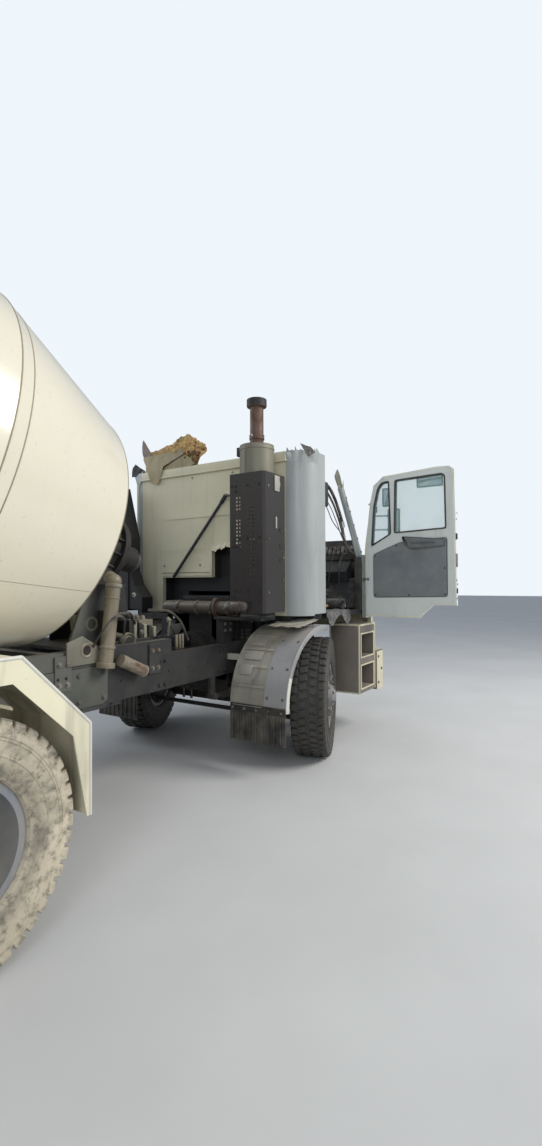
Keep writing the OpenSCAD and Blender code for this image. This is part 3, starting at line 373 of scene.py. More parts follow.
def polished(name, tint, rough=0.2):
    f = Finish(name)
    spots = f.steps(f.noise(18, 6, 0.7), 0.60, 0.70)
    base = f.mix(f.times(spots, 0.6), tint, f.colours.rust)
    f.bump(f.noise(90, 3), 0.1, 0.0005)
    return f.done(base, f.level(spots, rough, 0.7), Metallic=0.9)


def foam(name, paint):
    """Torn, sun-browned foam."""
    f = Finish(name)
    base = f.mix(f.steps(f.noise(6, 8, 0.7), 0.35, 0.62), paint, scaled(paint, 0.42))
    base = f.mix(f.steps(f.noise(14, 5), 0.58, 0.72), base, scaled(paint, 1.4))
    cells = f.node("ShaderNodeTexVoronoi", {"Vector": f.coords, "Scale": 120.0})
    f.bump(cells.outputs["Distance"], 0.7, 0.004)
    f.bump(f.noise(22, 6, 0.7), 0.6, 0.012)
    return f.done(base, 0.95)


def woven(name, paint, threads=420.0, dust=0.25):
    """Cloth or needled trim: a fine crossed weave, worn and dusty."""
    f = Finish(name)
    base = f.mix(f.steps(f.noise(2.5, 5), 0.32, 0.68), paint, scaled(paint, 0.6))
    worn = f.times(f.steps(f.noise(7, 6, 0.65), 0.45, 0.7), dust)
    base = f.mix(worn, base, f.colours.dust)
    weft = f.node("ShaderNodeTexWave", {"Vector": f.coords, "Scale": threads}, bands_direction="Z")
    warp = f.node("ShaderNodeTexWave", {"Vector": f.coords, "Scale": threads}, bands_direction="X")
    base = f.mix(f.times(f.times(weft.outputs["Fac"], warp.outputs["Fac"]), 0.35), base, scaled(paint, 1.9))
    f.bump(f.times(weft.outputs["Fac"], warp.outputs["Fac"]), 0.35, 0.001)
    return f.done(base, 0.93, Sheen_Weight=0.3, Sheen_Roughness=0.5)


def engine_grease(name):
    f = Finish(name)
    base = f.mix(f.steps(f.noise(3, 6, 0.65), 0.35, 0.65), (0.024, 0.024, 0.025), scaled(f.colours.grime, 0.6))
    base = f.mix(f.times(f.steps(f.noise(9, 8, 0.7), 0.54, 0.66), 0.3), base, scaled(f.colours.dust, 0.25))
    f.bump(f.noise(30, 6, 0.7), 0.5, 0.004)
    return f.done(base, f.level(f.noise(6, 4), 0.5, 0.9), Metallic=0.1)


def make_finishes(colours):
    """All of the truck's finishes by their plain names."""
    return {
        "drum paint": weathered("drum_cream_gloss", colours.drum, 0.2, 0.95, 0.1, 0.03, 0.0, 0.0, 0, 0.6, 0.02),
        "chute paint": weathered("chute_cream", colours.drum, 0.45, 0.8, 0.5, 0.4, 0.28, 0.2),
        "cab paint": weathered("cab_cream", colours.cab, 0.42, 0.86, 0.4, 0.22, 0.06, 0.2),
        "cab shell": weathered("cab_two_tone", colours.cab, 0.42, 0.86, 0.4, 0.22, 0.05, 0.2, 0, 0.2, 0.15,
                               colours.panel),
        "roof sheet": weathered("roof_sheet_tan", (0.42, 0.35, 0.20), 0.5, 0.8, 0.3, 0.35, 0.08, 0.0),
        "panel paint": weathered("corner_grey", colours.panel, 0.36, 0.9, 0.3, 0.12, 0.04, 0.2, 0, 0.25),
        "door paint": weathered("door_grey", colours.door, 0.42, 0.88, 0.3, 0.18, 0.10, 0.2),
        "guard paint": weathered("mudguard_cream", colours.guard, 0.55, 0.78, 0.5, 0.42, 0.22, 0.35),
        # Chassis: dark paint, partly painted shade: set darker, with little dust, runs and mud, for the frame's deep
        # shadow
        "chassis paint and shade": weathered("chassis_dark_and_shade", colours.chassis, 0.6, 0.6, 0.10, 0.2, 0.16, 0.12),
        # Mixer frame: pale grey paint set dark as painted shade, and forward of about x = -1.93 turned to the chassis
        # colour, also painted shade
        "mixer paint and shade": weathered("mixer_frame_grey_and_shade", colours.mixer, 0.6, 0.65, 0.35, 0.7, 0.25, 0.3,
                                 under=("X", DATUM.x - 1.96, DATUM.x - 1.90, colours.chassis)),
        "rim paint": weathered("rim_blue_grey", colours.rim, 0.45, 0.7, 0.3, 0.2, 0.12, 0.75),
        "front guard paint": weathered("front_guard_dirty", (0.44, 0.42, 0.36), 0.6, 0.45, 0.5, 0.8, 0.2, 0.5, 0, 0,
                                       0.8),
        "rail plate": weathered("rail_plate_grey", (0.095, 0.102, 0.090), 0.55, 0.7, 0.3, 0.5, 0.14, 0.3),
        "smooth guard": weathered("mudguard_lavender", (0.36, 0.36, 0.37), 0.5, 0.85, 0.3, 0.25, 0.05, 0.4),
        "white edge": weathered("white_edge", (0.80, 0.78, 0.70), 0.5, 0.85, 0.3, 0.25, 0.08, 0.25),
        "brown plate": weathered("brown_step", (0.22, 0.19, 0.165), 0.6, 0.7, 0.3, 0.3, 0.2, 0.3),
        "splashed steel": weathered("cement_splashed", (0.30, 0.285, 0.22), 0.75, 0.45, 0.5, 0.7, 0.15, 0, 0, 0, 0.8),
        "dusty rubber": rubber("ribbed_rubber", 0.4),
        "tank metal": weathered("tank_alloy", (0.42, 0.43, 0.44), 0.38, 0.8, 0.4, 0.2, 0.02, 0.5, 0.8),
        "shield steel": rusted("shield_dark_steel", colours.shield, -0.1, 0.62, 0.2, 0.06),
        "muffler steel": weathered("muffler_faded_steel", (0.24, 0.225, 0.17), 0.55, 0.75, 0.3, 0.25, 0.14, 0, 0.2,
                                   under=("Z", 1.45, 1.43, colours.chassis)),
        "rusty steel": rusted("exhaust_rust", (0.135, 0.085, 0.065), 0.30, 0.7, 0.2, 0.15),
        "pipe steel": rusted("pipe_brown_dust", (0.25, 0.215, 0.155), 0.10, 0.62, 0.1, 0.5),
        "exhaust pipe": rusted("exhaust_pipe_brown", (0.10, 0.082, 0.065), 0.1, 0.6, 0.2, 0.4),
        "elbow steel": rusted("elbow_pinkish_grey", (0.13, 0.105, 0.095), 0.0, 0.6, 0.2, 0.3),
        "seam": weathered("drum_seam", (0.34, 0.29, 0.19), 0.6, 0.8, 0.1, 0.2, 0.1, 0),
        "old steel": rusted("worn_steel", (0.30, 0.29, 0.27), 0.42, 0.5, 0.7),
        "bright steel": polished("bright_steel", (0.62, 0.62, 0.60), 0.22),
        "grease": engine_grease("oily_casting"),
        "tyre": tyre_rubber("tyre_dust_and_shade"),
        "rubber": rubber("flap_rubber", 0.25),
        "hose": rubber("hose_rubber", 0.3),
        "seal": rubber("window_seal", 0.15),
        "plastic": moulded("dark_plastic", colours.plastic, 0.55, 0.16),
        "pale plastic": moulded("pale_plastic", (0.45, 0.44, 0.38), 0.5, 0.4),
        "trim": woven("door_trim_cloth", colours.carpet, 300.0, 0.18),
        "dark trim": woven("door_pull_cloth", scaled(colours.carpet, 0.6), 300.0, 0.1),
        "floor carpet": woven("floor_carpet", (0.050, 0.052, 0.056), 260.0, 0.35),
        "cloth": woven("seat_cloth", colours.cloth),
        "belt": woven("seat_belt_web", (0.07, 0.07, 0.07), 600.0, 0.3),
        "foam": foam("torn_foam", colours.foam),
        "foam brown": foam("scorched_foam", (0.27, 0.15, 0.07)),
        "faded liner": moulded("faded_liner", (0.34, 0.27, 0.23), 0.8, 0.4, 120),
        "lining": moulded("torn_lining", (0.52, 0.50, 0.38), 0.8, 0.5, 120),
        "glass": glass("door_glass", (0.50, 0.72, 0.72)),
        "mirror": polished("mirror_glass", (0.75, 0.79, 0.80), 0.06),
        "clear lens": lens("clear_lens", (0.72, 0.74, 0.74)),
        "red lens": lens("red_lens", (0.50, 0.02, 0.015)),
        "amber lens": lens("amber_lens", (0.75, 0.24, 0.02)),
        "plate": moulded("blank_plate", (0.62, 0.62, 0.58), 0.4, 0.5, 500),
    }


FINISHES = {}


# Shaping


def paint(piece, *names):
    """Gives an object its finishes by name."""
    for name in names:
        piece.data.materials.append(FINISHES[name])


# Corners closer than this, in metres, are one corner
SAME = 1e-6


def bevel(form, edges, offset, segments=2):
    bmesh.ops.bevel(form, geom=edges, offset=offset, affect="EDGES", segments=segments, profile=0.5, material=-1)


def on_plane(axis, at, u, v):
    """The point of a plane across an axis: u and v are X and Z across Y, Y and Z across X, or X and Y across Z."""
    return {"X": (at, u, v), "Y": (u, at, v), "Z": (u, v, at)}[axis]


def thicken(form, axis, depth, edge):
    """Draws a flat form out along an axis, and rounds its edges."""
    made = bmesh.ops.extrude_face_region(form, geom=form.faces[:])["geom"]
    verts = [g for g in made if isinstance(g, bmesh.types.BMVert)]
    bmesh.ops.translate(form, vec=Vector(on_plane(axis, depth, 0, 0)), verts=verts)
    bmesh.ops.recalc_face_normals(form, faces=form.faces)
    if edge:
        bevel(form, [e for e in form.edges if e.calc_face_angle(0) > 0.5], edge)


class Shape:
    """One piece in the making. Each form is made in its own mesh, set in place and added with its finish."""

    def __init__(self, place=None):
        self.mesh = bmesh.new()
        self.finishes = []
        self.place = place or Matrix()

    def add(self, form, finish, local=None, smooth=True):
        if finish not in self.finishes:
            self.finishes.append(finish)
        place = self.place @ local if local else self.place
        form.transform(place)
        if place.determinant() < 0:
            bmesh.ops.reverse_faces(form, faces=form.faces)
        for face in form.faces:
            face.material_index = self.finishes.index(finish)
            face.smooth = smooth
        spare = bpy.data.meshes.new("form")
        form.to_mesh(spare)
        form.free()
        self.mesh.from_mesh(spare)
        bpy.data.meshes.remove(spare)

    def box(self, x, y, z, finish, edge=0.004, segments=2, local=None, taper=None):
        """A block between limits along X, Y and Z, with its edges rounded."""
        form = bmesh.new()
        bmesh.ops.create_cube(form, size=1.0)
        size = Vector((x[1] - x[0], y[1] - y[0], z[1] - z[0]))
        bmesh.ops.scale(form, vec=size, verts=form.verts)
        if taper:
            top = [v for v in form.verts if v.co.z > 0]
            bmesh.ops.scale(form, vec=(taper, taper, 1), verts=top)
        bmesh.ops.translate(form, vec=((x[0] + x[1]) / 2, (y[0] + y[1]) / 2, (z[0] + z[1]) / 2), verts=form.verts)
        edge = min(edge, 0.45 * min(abs(v) for v in size))
        if edge > 0.0002:
            bevel(form, form.edges[:], edge, segments)
        self.add(form, finish, local)

    def rod(self, a, b, r, finish, r2=None, sides=20, edge=0.0, local=None):
        """A round bar from a to b."""
        a, b = Vector(a), Vector(b)
        form = bmesh.new()
        bmesh.ops.create_cone(form, cap_ends=True, segments=sides, radius1=r, radius2=r if r2 is None else r2,
                              depth=(b - a).length)
        if edge:
            bevel(form, [e for e in form.edges if abs(e.verts[0].co.z - e.verts[1].co.z) < SAME], edge)
        turned = (b - a).to_track_quat("Z", "Y").to_matrix().to_4x4()
        form.transform(Matrix.Translation((a + b) / 2) @ turned)
        self.add(form, finish, local)

    def turned(self, outline, finish, steps=48, axis="Y", local=None, closed=False, angle=360.0):
        """An outline of (radius, distance along the axis), spun about it."""
        form = bmesh.new()
        verts = [form.verts.new((r, 0, h)) for r, h in outline]
        edges = [form.edges.new(pair) for pair in zip(verts, verts[1:])]
        if closed:
            edges.append(form.edges.new((verts[-1], verts[0])))
        bmesh.ops.spin(form, geom=verts + edges, cent=(0, 0, 0), axis=(0, 0, 1), angle=radians(angle), steps=steps,
                       use_merge=angle >= 360)
        bmesh.ops.remove_doubles(form, verts=form.verts, dist=SAME)
        bmesh.ops.recalc_face_normals(form, faces=form.faces)
        if axis == "Y":
            form.transform(turn(-90, "X"))
        elif axis == "X":
            form.transform(turn(90, "Y"))
        self.add(form, finish, local)

    def band(self, inner, outer, low, high, finish, steps=40, axis="X", local=None, lip=0.002):
        """A strap or ring round an axis, its outer edges cut by a lip."""
        self.turned([(inner, low), (outer, low + lip), (outer, high - lip), (inner, high)], finish, steps, axis, local,
                    closed=True)

    def plate(self, outline, low, high, axis, finish, edge=0.002, local=None):
        """A flat outline given thickness: in X and Z across Y, in Y and Z along X, or in X and Y up Z."""
        form = bmesh.new()
        form.faces.new([form.verts.new(on_plane(axis, low, u, v)) for u, v in outline])
        thicken(form, axis, high - low, edge)
        self.add(form, finish, local)

    def frame(self, outline, width, low, high, axis, finish, local=None):
        """A flat ring of a given width just inside an outline, as a window's seal."""
        form = bmesh.new()
        rings = []
        for points in (outline, inset_outline(outline, width)):
            verts = [form.verts.new(on_plane(axis, low, u, v)) for u, v in points]
            rings.append([form.edges.new(pair) for pair in zip(verts, verts[1:] + verts[:1])])
        bmesh.ops.bridge_loops(form, edges=rings[0] + rings[1])
        thicken(form, axis, high - low, width * 0.2)
        self.add(form, finish, local)

    def skin(self, place, across, along, wall, finish, flip=False):
        """A sheet: a grid whose corners go where place(u, v) says, u and v from 0 to 1."""
        form = bmesh.new()
        bmesh.ops.create_grid(form, x_segments=across, y_segments=along, size=0.5)
        for v in form.verts:
            v.co = Vector(place(v.co.x + 0.5, v.co.y + 0.5))
        if flip:
            bmesh.ops.reverse_faces(form, faces=form.faces)
        if wall:
            bmesh.ops.solidify(form, geom=form.faces[:], thickness=wall)
            bmesh.ops.recalc_face_normals(form, faces=form.faces)
        self.add(form, finish)

    def pipe(self, points, r, finish, sides=10):
        """A bent pipe, hose or cable through the points."""
        curve = bpy.data.curves.new("run", "CURVE")
        curve.dimensions = "3D"
        curve.bevel_depth = r
        curve.bevel_resolution = max(1, sides // 4 - 1)
        curve.resolution_u = 6
        curve.use_fill_caps = True
        spline = curve.splines.new("BEZIER")
        spline.bezier_points.add(len(points) - 1)
        for point, at in zip(spline.bezier_points, points):
            point.co = at
            point.handle_left_type = point.handle_right_type = "AUTO"
        holder = bpy.data.objects.new("run", curve)
        mesh = holder.to_mesh()
        form = bmesh.new()
        form.from_mesh(mesh)
        holder.to_mesh_clear()
        bpy.data.objects.remove(holder)
        bpy.data.curves.remove(curve)
        bmesh.ops.remove_doubles(form, verts=form.verts, dist=SAME)
        self.add(form, finish)

    def bolts(self, places, axis, finish, width=None, height=0.014, washer=True, local=None):
        """Hexagon heads on washers at the given places, pointing along axis."""
        width = width or bpy.context.scene.mixer_sizes.bolt_width
        axis = Vector(axis).normalized()
        for place in places:
            place = Vector(place)
            if washer:
                self.rod(place, place + axis * 0.003, width * 0.72, finish, sides=12, local=local)
            self.rod(place, place + axis * height, width * 0.5, finish, sides=6, edge=width * 0.05, local=local)

    def done(self, name, body, slot, *replaced, merge=0.0, crease=38.0):
        """Moves the piece to its place in the row's frame, and ties it to its body."""
        if merge:
            bmesh.ops.remove_doubles(self.mesh, verts=self.mesh.verts, dist=merge)
        bmesh.ops.translate(self.mesh, vec=DATUM, verts=self.mesh.verts)
        mesh = bpy.data.meshes.new(name)
        self.mesh.to_mesh(mesh)
        self.mesh.free()
        piece = bpy.data.objects.new(name, mesh)
        bpy.context.scene.collection.objects.link(piece)
        paint(piece, *self.finishes)
        mesh.set_sharp_from_angle(angle=radians(crease))
        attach(piece, body)
        if replaced:
            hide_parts(*replaced)
        return piece


def inset_outline(points, distance):
    """The outline drawn in by a distance; the points run round it either way."""
    area = sum(a[0] * b[1] - b[0] * a[1] for a, b in zip(points, points[1:] + points[:1]))
    side = distance if area > 0 else -distance
    made = []
    for before, here, after in zip(points[-1:] + points[:-1], points, points[1:] + points[:1]):
        a = (Vector(here) - Vector(before)).normalized()
        b = (Vector(after) - Vector(here)).normalized()
        normal = (Vector((-a.y, a.x)) + Vector((-b.y, b.x))).normalized()
        stretch = 1 / max(0.35, normal.dot(Vector((-a.y, a.x))))
        made.append(tuple(Vector(here) + normal * side * stretch))
    return made


def rounded(points, radius, steps=4):
    """The outline with its corners rounded."""
    made = []
    for before, here, after in zip(points[-1:] + points[:-1], points, points[1:] + points[:1]):
        here = Vector(here)
        a, b = Vector(before) - here, Vector(after) - here
        reach = min(radius, a.length * 0.45, b.length * 0.45)
        start, end = here + a.normalized() * reach, here + b.normalized() * reach
        for k in range(steps + 1):
            t = k / steps
            made.append(tuple(start * (1 - t) ** 2 + here * 2 * t * (1 - t) + end * t * t))
    return made


# Without a seed the noise starts from the clock, and crumples differ from run to run
noise.seed_set(7)


def wander(place, scale, amount, seed=0):
    """A smooth push from noise, for crumples and dents."""
    return noise.noise_vector(Vector(place) * scale + Vector((seed * 7.3, seed * 3.1, seed * 5.7))) * amount


# Pieces


class PaintFrame(bpy.types.Operator):
    """Makes the finishes and gives one to every part of the frame"""

    bl_idname = "mixer.paint_frame"
    bl_label = "Paint the frame"

    WEAR = {
        "drum paint": "drum_head drum_shell drum_cone",
        "chute paint": "hopper collector chute chute_extension",
        "cab shell": "cab_shell",
        "cab paint": "front_panel bumper",
        "door paint": "door_left door_right",
        "guard paint": "rear_mudguards",
        "front guard paint": "front_mudguards",
        "chassis paint and shade": "frame_rails springs front_axle rear_axles propshafts knuckle_left knuckle_right tie_rod "
                         "tail_bar",
        "mixer paint and shade": "subframe front_pedestal rear_pedestal hopper_frame ladder chute_swivel",
        "brown plate": "steps",
        "rim paint": "rim_front_left rim_front_right rims_left_1 rims_left_2 rims_right_1 rims_right_2",
        "grease": "engine drum_gearbox",
        "shield steel": "heat_shield",
        "muffler steel": "exhaust",
        "pipe steel": "hydraulics",
        "rusty steel": "exhaust_stack",
        "old steel": "roller_left roller_right jack_cylinder",
        "bright steel": "jack_rod",
        "tyre": "tyre_front_left tyre_front_right tyres_left_1 tyres_left_2 tyres_right_1 tyres_right_2",
        "rubber": "mud_flaps",
        "plastic": "air_intake dashboard cab_floor",
        "cloth": "seats",
        "lining": "torn_roof",
        "clear lens": "lamps",
        "tank metal": "tanks",
    }

    def execute(self, context):
        FINISHES.update(make_finishes(context.scene.mixer_colours))
        for finish, names in self.WEAR.items():
            for name in names.split():
                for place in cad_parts[name].material_slots:
                    place.material = FINISHES[finish]
        return {"FINISHED"}


SIDEWALL = [(0.3055, 0.112), (0.308, 0.132), (0.316, 0.1435), (0.330, 0.149), (0.340, 0.1545), (0.347, 0.1545),
            (0.350, 0.1505), (0.380, 0.1520), (0.392, 0.1522), (0.394, 0.1545), (0.399, 0.1545), (0.401, 0.1522),
            (0.430, 0.1525), (0.452, 0.1515), (0.454, 0.1538), (0.458, 0.1538), (0.460, 0.151), (0.466, 0.1505),
            (0.468, 0.1528), (0.472, 0.1526), (0.474, 0.150), (0.494, 0.147), (0.508, 0.141), (0.516, 0.130),
            (0.5215, 0.112), (0.523, 0.080), (0.5235, 0.04)]


def tyre_form(shape, middle, sizes):
    """One tyre with staggered tread blocks, about the wheel frame's own axle."""
    at = shift(0, middle, 0)
    wall = SIDEWALL + [(r, -w) for r, w in reversed(SIDEWALL)]
    shape.turned(wall, "tyre", 72, local=at)
    foot = TYRE_R - sizes.tread_height
    pitch = 360 / sizes.tread_rows
    for k in range(sizes.tread_rows):
        for side in (1, -1):
            spin = at @ turn(k * pitch + (0 if side > 0 else pitch / 2), "Y")
            shape.box((-0.028, 0.028), span(side, 0.088, 0.139), (foot - 0.016, TYRE_R - 0.0005), "tyre", 0.004, 1,
                      spin, 0.96)
            shape.box((-0.026, 0.026), span(side, 0.128, 0.1475), (foot - 0.032, foot + 0.008), "tyre", 0.004, 1, spin)
            half = at @ turn(k * pitch + pitch * (0.5 if side > 0 else 0.0), "Y") @ turn(side * 12, "Z")
            shape.box((-0.026, 0.026), span(side, 0.010, 0.074), (foot - 0.004, TYRE_R), "tyre", 0.003, 1, half, 0.97)


def dust_and_shade_sidewalls(piece, place, share):
    """Marks how dusty each corner of a tyre is: full on the sidewalls, thin on the blocks' tops, scaled by share, which
    the front tyres keep low as painted shade.
    """
    marks = []
    for vert in piece.data.vertices:
        local = place.inverted() @ (vert.co - DATUM)
        r = math.hypot(local.x, local.z)
        band = 0.95 if r < 0.505 else 0.75 if r < 0.53 else 0.42
        marks.append(share * band * (0.55 + 0.45 * min(1.0, abs(r - 0.35) / 0.06)))
    layer = piece.data.attributes.new("dusty", "FLOAT", "POINT")
    layer.data.foreach_set("value", marks)


class Tyres(bpy.types.Operator):
    """Tyres with ribbed sidewalls and staggered tread blocks"""

    bl_idname = "mixer.tyres"
    bl_label = "Tyres"

    def execute(self, context):
        for _, steered, place, node, body, middles in wheels():
            shape = Shape(place)
            for middle in middles:
                tyre_form(shape, middle, context.scene.mixer_sizes)
            piece = shape.done("treaded_" + node, body, "tyre_rubber", node, crease=32)
            # Front tyres get only a trace of dust, as painted shade for the shadow they stand in
            dust_and_shade_sidewalls(piece, place, 0.07 if steered else 1.0)
        return {"FINISHED"}


def ring_of(count, radius, height, offset=0.0):
    return [(radius * sin(2 * pi * (k + offset) / count), height, radius * cos(2 * pi * (k + offset) / count))
            for k in range(count)]


class WheelTrim(bpy.types.Operator):
    """Wheel nuts, studs, hub caps, valves and brake drums"""

    bl_idname = "mixer.wheel_trim"
    bl_label = "Nuts, hubs and brakes"

    def execute(self, context):
        nut = context.scene.mixer_sizes.nut_width
        for label, steered, place, _, body, middles in wheels():
            shape = Shape(place)
            face = 0.108 if steered else 0.014
            seats = ring_of(10, 0.168, face, 0.5)
            shape.bolts(seats, (0, 1, 0), "old steel", nut, 0.032)
            for x, y, z in seats:
                shape.rod((x, y + 0.03, z), (x, y + 0.048, z), 0.011, "old steel", sides=10, edge=0.002)
            if steered:
                shape.turned([(0.0, 0.196), (0.03, 0.194), (0.052, 0.186), (0.062, 0.172)], "rim paint", 32)
                shape.bolts(ring_of(6, 0.079, 0.171), (0, 1, 0), "old steel", 0.02, 0.012)
                shape.turned([(0.19, 0.05), (0.2, 0.044), (0.206, 0.03), (0.206, -0.1), (0.198, -0.106), (0.19, -0.1),
                              (0.19, 0.03)], "chassis paint and shade", 48)
            else:
                shape.bolts(ring_of(10, 0.086, 0.18), (0, 1, 0), "old steel", 0.022, 0.014)
                shape.turned([(0.0, 0.1835), (0.05, 0.1835), (0.056, 0.18)], "rim paint", 32)
                shape.turned([(0.155, -0.125), (0.2, -0.13), (0.206, -0.14), (0.206, -0.335), (0.196, -0.342),
                              (0.19, -0.335), (0.19, -0.14), (0.155, -0.137)], "chassis paint and shade", 48)
                for k in range(10):
                    shape.box((-0.004, 0.004), (-0.33, -0.16), (0.203, 0.212), "chassis paint and shade", 0.002, 1,
                              turn(36 * k, "Y"))
            for middle in middles:
                for edge in (1, -1):
                    shape.turned([(0.302, middle + edge * 0.1285), (0.306, middle + edge * 0.127),
                                  (0.3075, middle + edge * 0.121), (0.3055, middle + edge * 0.1145)], "bright steel",
                                 72)
            reach = 0.095 if steered else 0.12
            shape.pipe([(0.21, face - 0.01, 0.13), (0.225, face + 0.03, 0.14), (0.243, reach + 0.01, 0.15)], 0.005,
                       "bright steel", 8)
            shape.rod((0.243, reach + 0.008, 0.15), (0.246, reach + 0.028, 0.153), 0.0065, "seal", sides=10)
            shape.done("wheel_trim_" + label, body, "rim_paint")
        return {"FINISHED"}


class DrumTrim(bpy.types.Operator):
    """Weld beads, seams, inspection cover and mixing blades of the drum"""

    bl_idname = "mixer.drum_trim"
    bl_label = "Drum welds, cover and blades"

    # Rows: distance along the axis and radius, of the skin and of the weld rings on it
    OUTLINE = [(-0.084, 0.65), (0.0, 0.845), (0.848, 1.087), (0.93, 1.112), (2.15, 1.112), (3.9, 0.6), (4.1, 0.56)]
    RINGS = [(0.0, 0.845), (0.848, 1.087), (0.93, 1.112), (2.15, 1.112), (2.98, 0.869), (3.9, 0.6)]
    # Rows: start and end along the axis, and the seam's angle about it from the underside
    SEAMS = [(0.0, 0.848, 55.5), (0.93, 2.15, 205.0), (2.15, 2.98, 95.0), (2.98, 3.27, 20.0)]

    def radius(self, s):
        for (s0, r0), (s1, r1) in zip(self.OUTLINE, self.OUTLINE[1:]):
            if s <= s1:
                return r0 + (r1 - r0) * (s - s0) / (s1 - s0)
        return self.OUTLINE[-1][1]

    def on_skin(self, s, angle, lift=0.0):
        r = self.radius(s) + lift
        return (-r * cos(radians(angle)), -r * sin(radians(angle)), s)

    def execute(self, context):
        bead = context.scene.mixer_sizes.weld_radius
        shape = Shape(DRUM_FRAME)
        for s, r in self.RINGS:
            shape.turned([(r - 0.004, s - bead), (r + bead * 0.22, s - bead * 0.6), (r + bead * 0.3, s),
                          (r + bead * 0.22, s + bead * 0.6), (r - 0.004, s + bead)], "seam", 128, axis="Z")
        for s0, s1, angle in self.SEAMS:
            shape.pipe([self.on_skin(s0 + (s1 - s0) * k / 6, angle, -0.002) for k in range(7)], bead * 0.45, "seam", 8)
        # Inspection cover, on the far side of the barrel
        cover = turn(150, "Z") @ shift(-1.112, 0, 1.55) @ turn(90, "Y")
        oval = [(0.30 * cos(t * pi / 16), 0.20 * sin(t * pi / 16)) for t in range(32)]
        shape.plate(oval, -0.03, 0.016, "Z", "drum paint", 0.004, cover @ turn(180, "X"))
        shape.bolts([(0.26 * cos(t * pi / 5), 0.165 * sin(t * pi / 5), -0.016) for t in range(10)], (0, 0, -1),
                    "old steel", local=cover)
        # Running ring's bright band and its stiffening wedges
        shape.turned([(0.8605, 3.29), (0.8625, 3.293), (0.8625, 3.387), (0.8605, 3.39)], "old steel", 128, axis="Z")
        for k in range(24):
            local = turn(15 * k, "Z")
            for wedge in ([(0.66, 3.398), (0.72, 3.396), (0.85, 3.396), (0.735, 3.46), (0.69, 3.56)],
                          [(0.76, 3.284), (0.85, 3.284), (0.79, 3.24), (0.776, 3.2)]):
                shape.plate(wedge, -0.006, 0.006, "Y", "chute paint", 0, local)
        # Bolts that hold the head to the gearbox
        shape.bolts([(x, y, -0.196) for x, y in circle(12, 0.2)], (0, 0, -1), "old steel", 0.03)
        # Two mixing blades that wind in from the mouth
        for start in (0.0, 180.0):
            def blade(u, v, start=start):
                s = 4.04 - 2.5 * u
                r = self.radius(s) - 0.008 - 0.27 * v
                angle = radians(start + 430 * u)
                return (r * cos(angle), r * sin(angle), s + 0.05 * v)
            shape.skin(blade, 90, 3, 0.006, "chute paint")
        shape.done("drum_trim", "drum_body", "drum_paint")
        return {"FINISHED"}


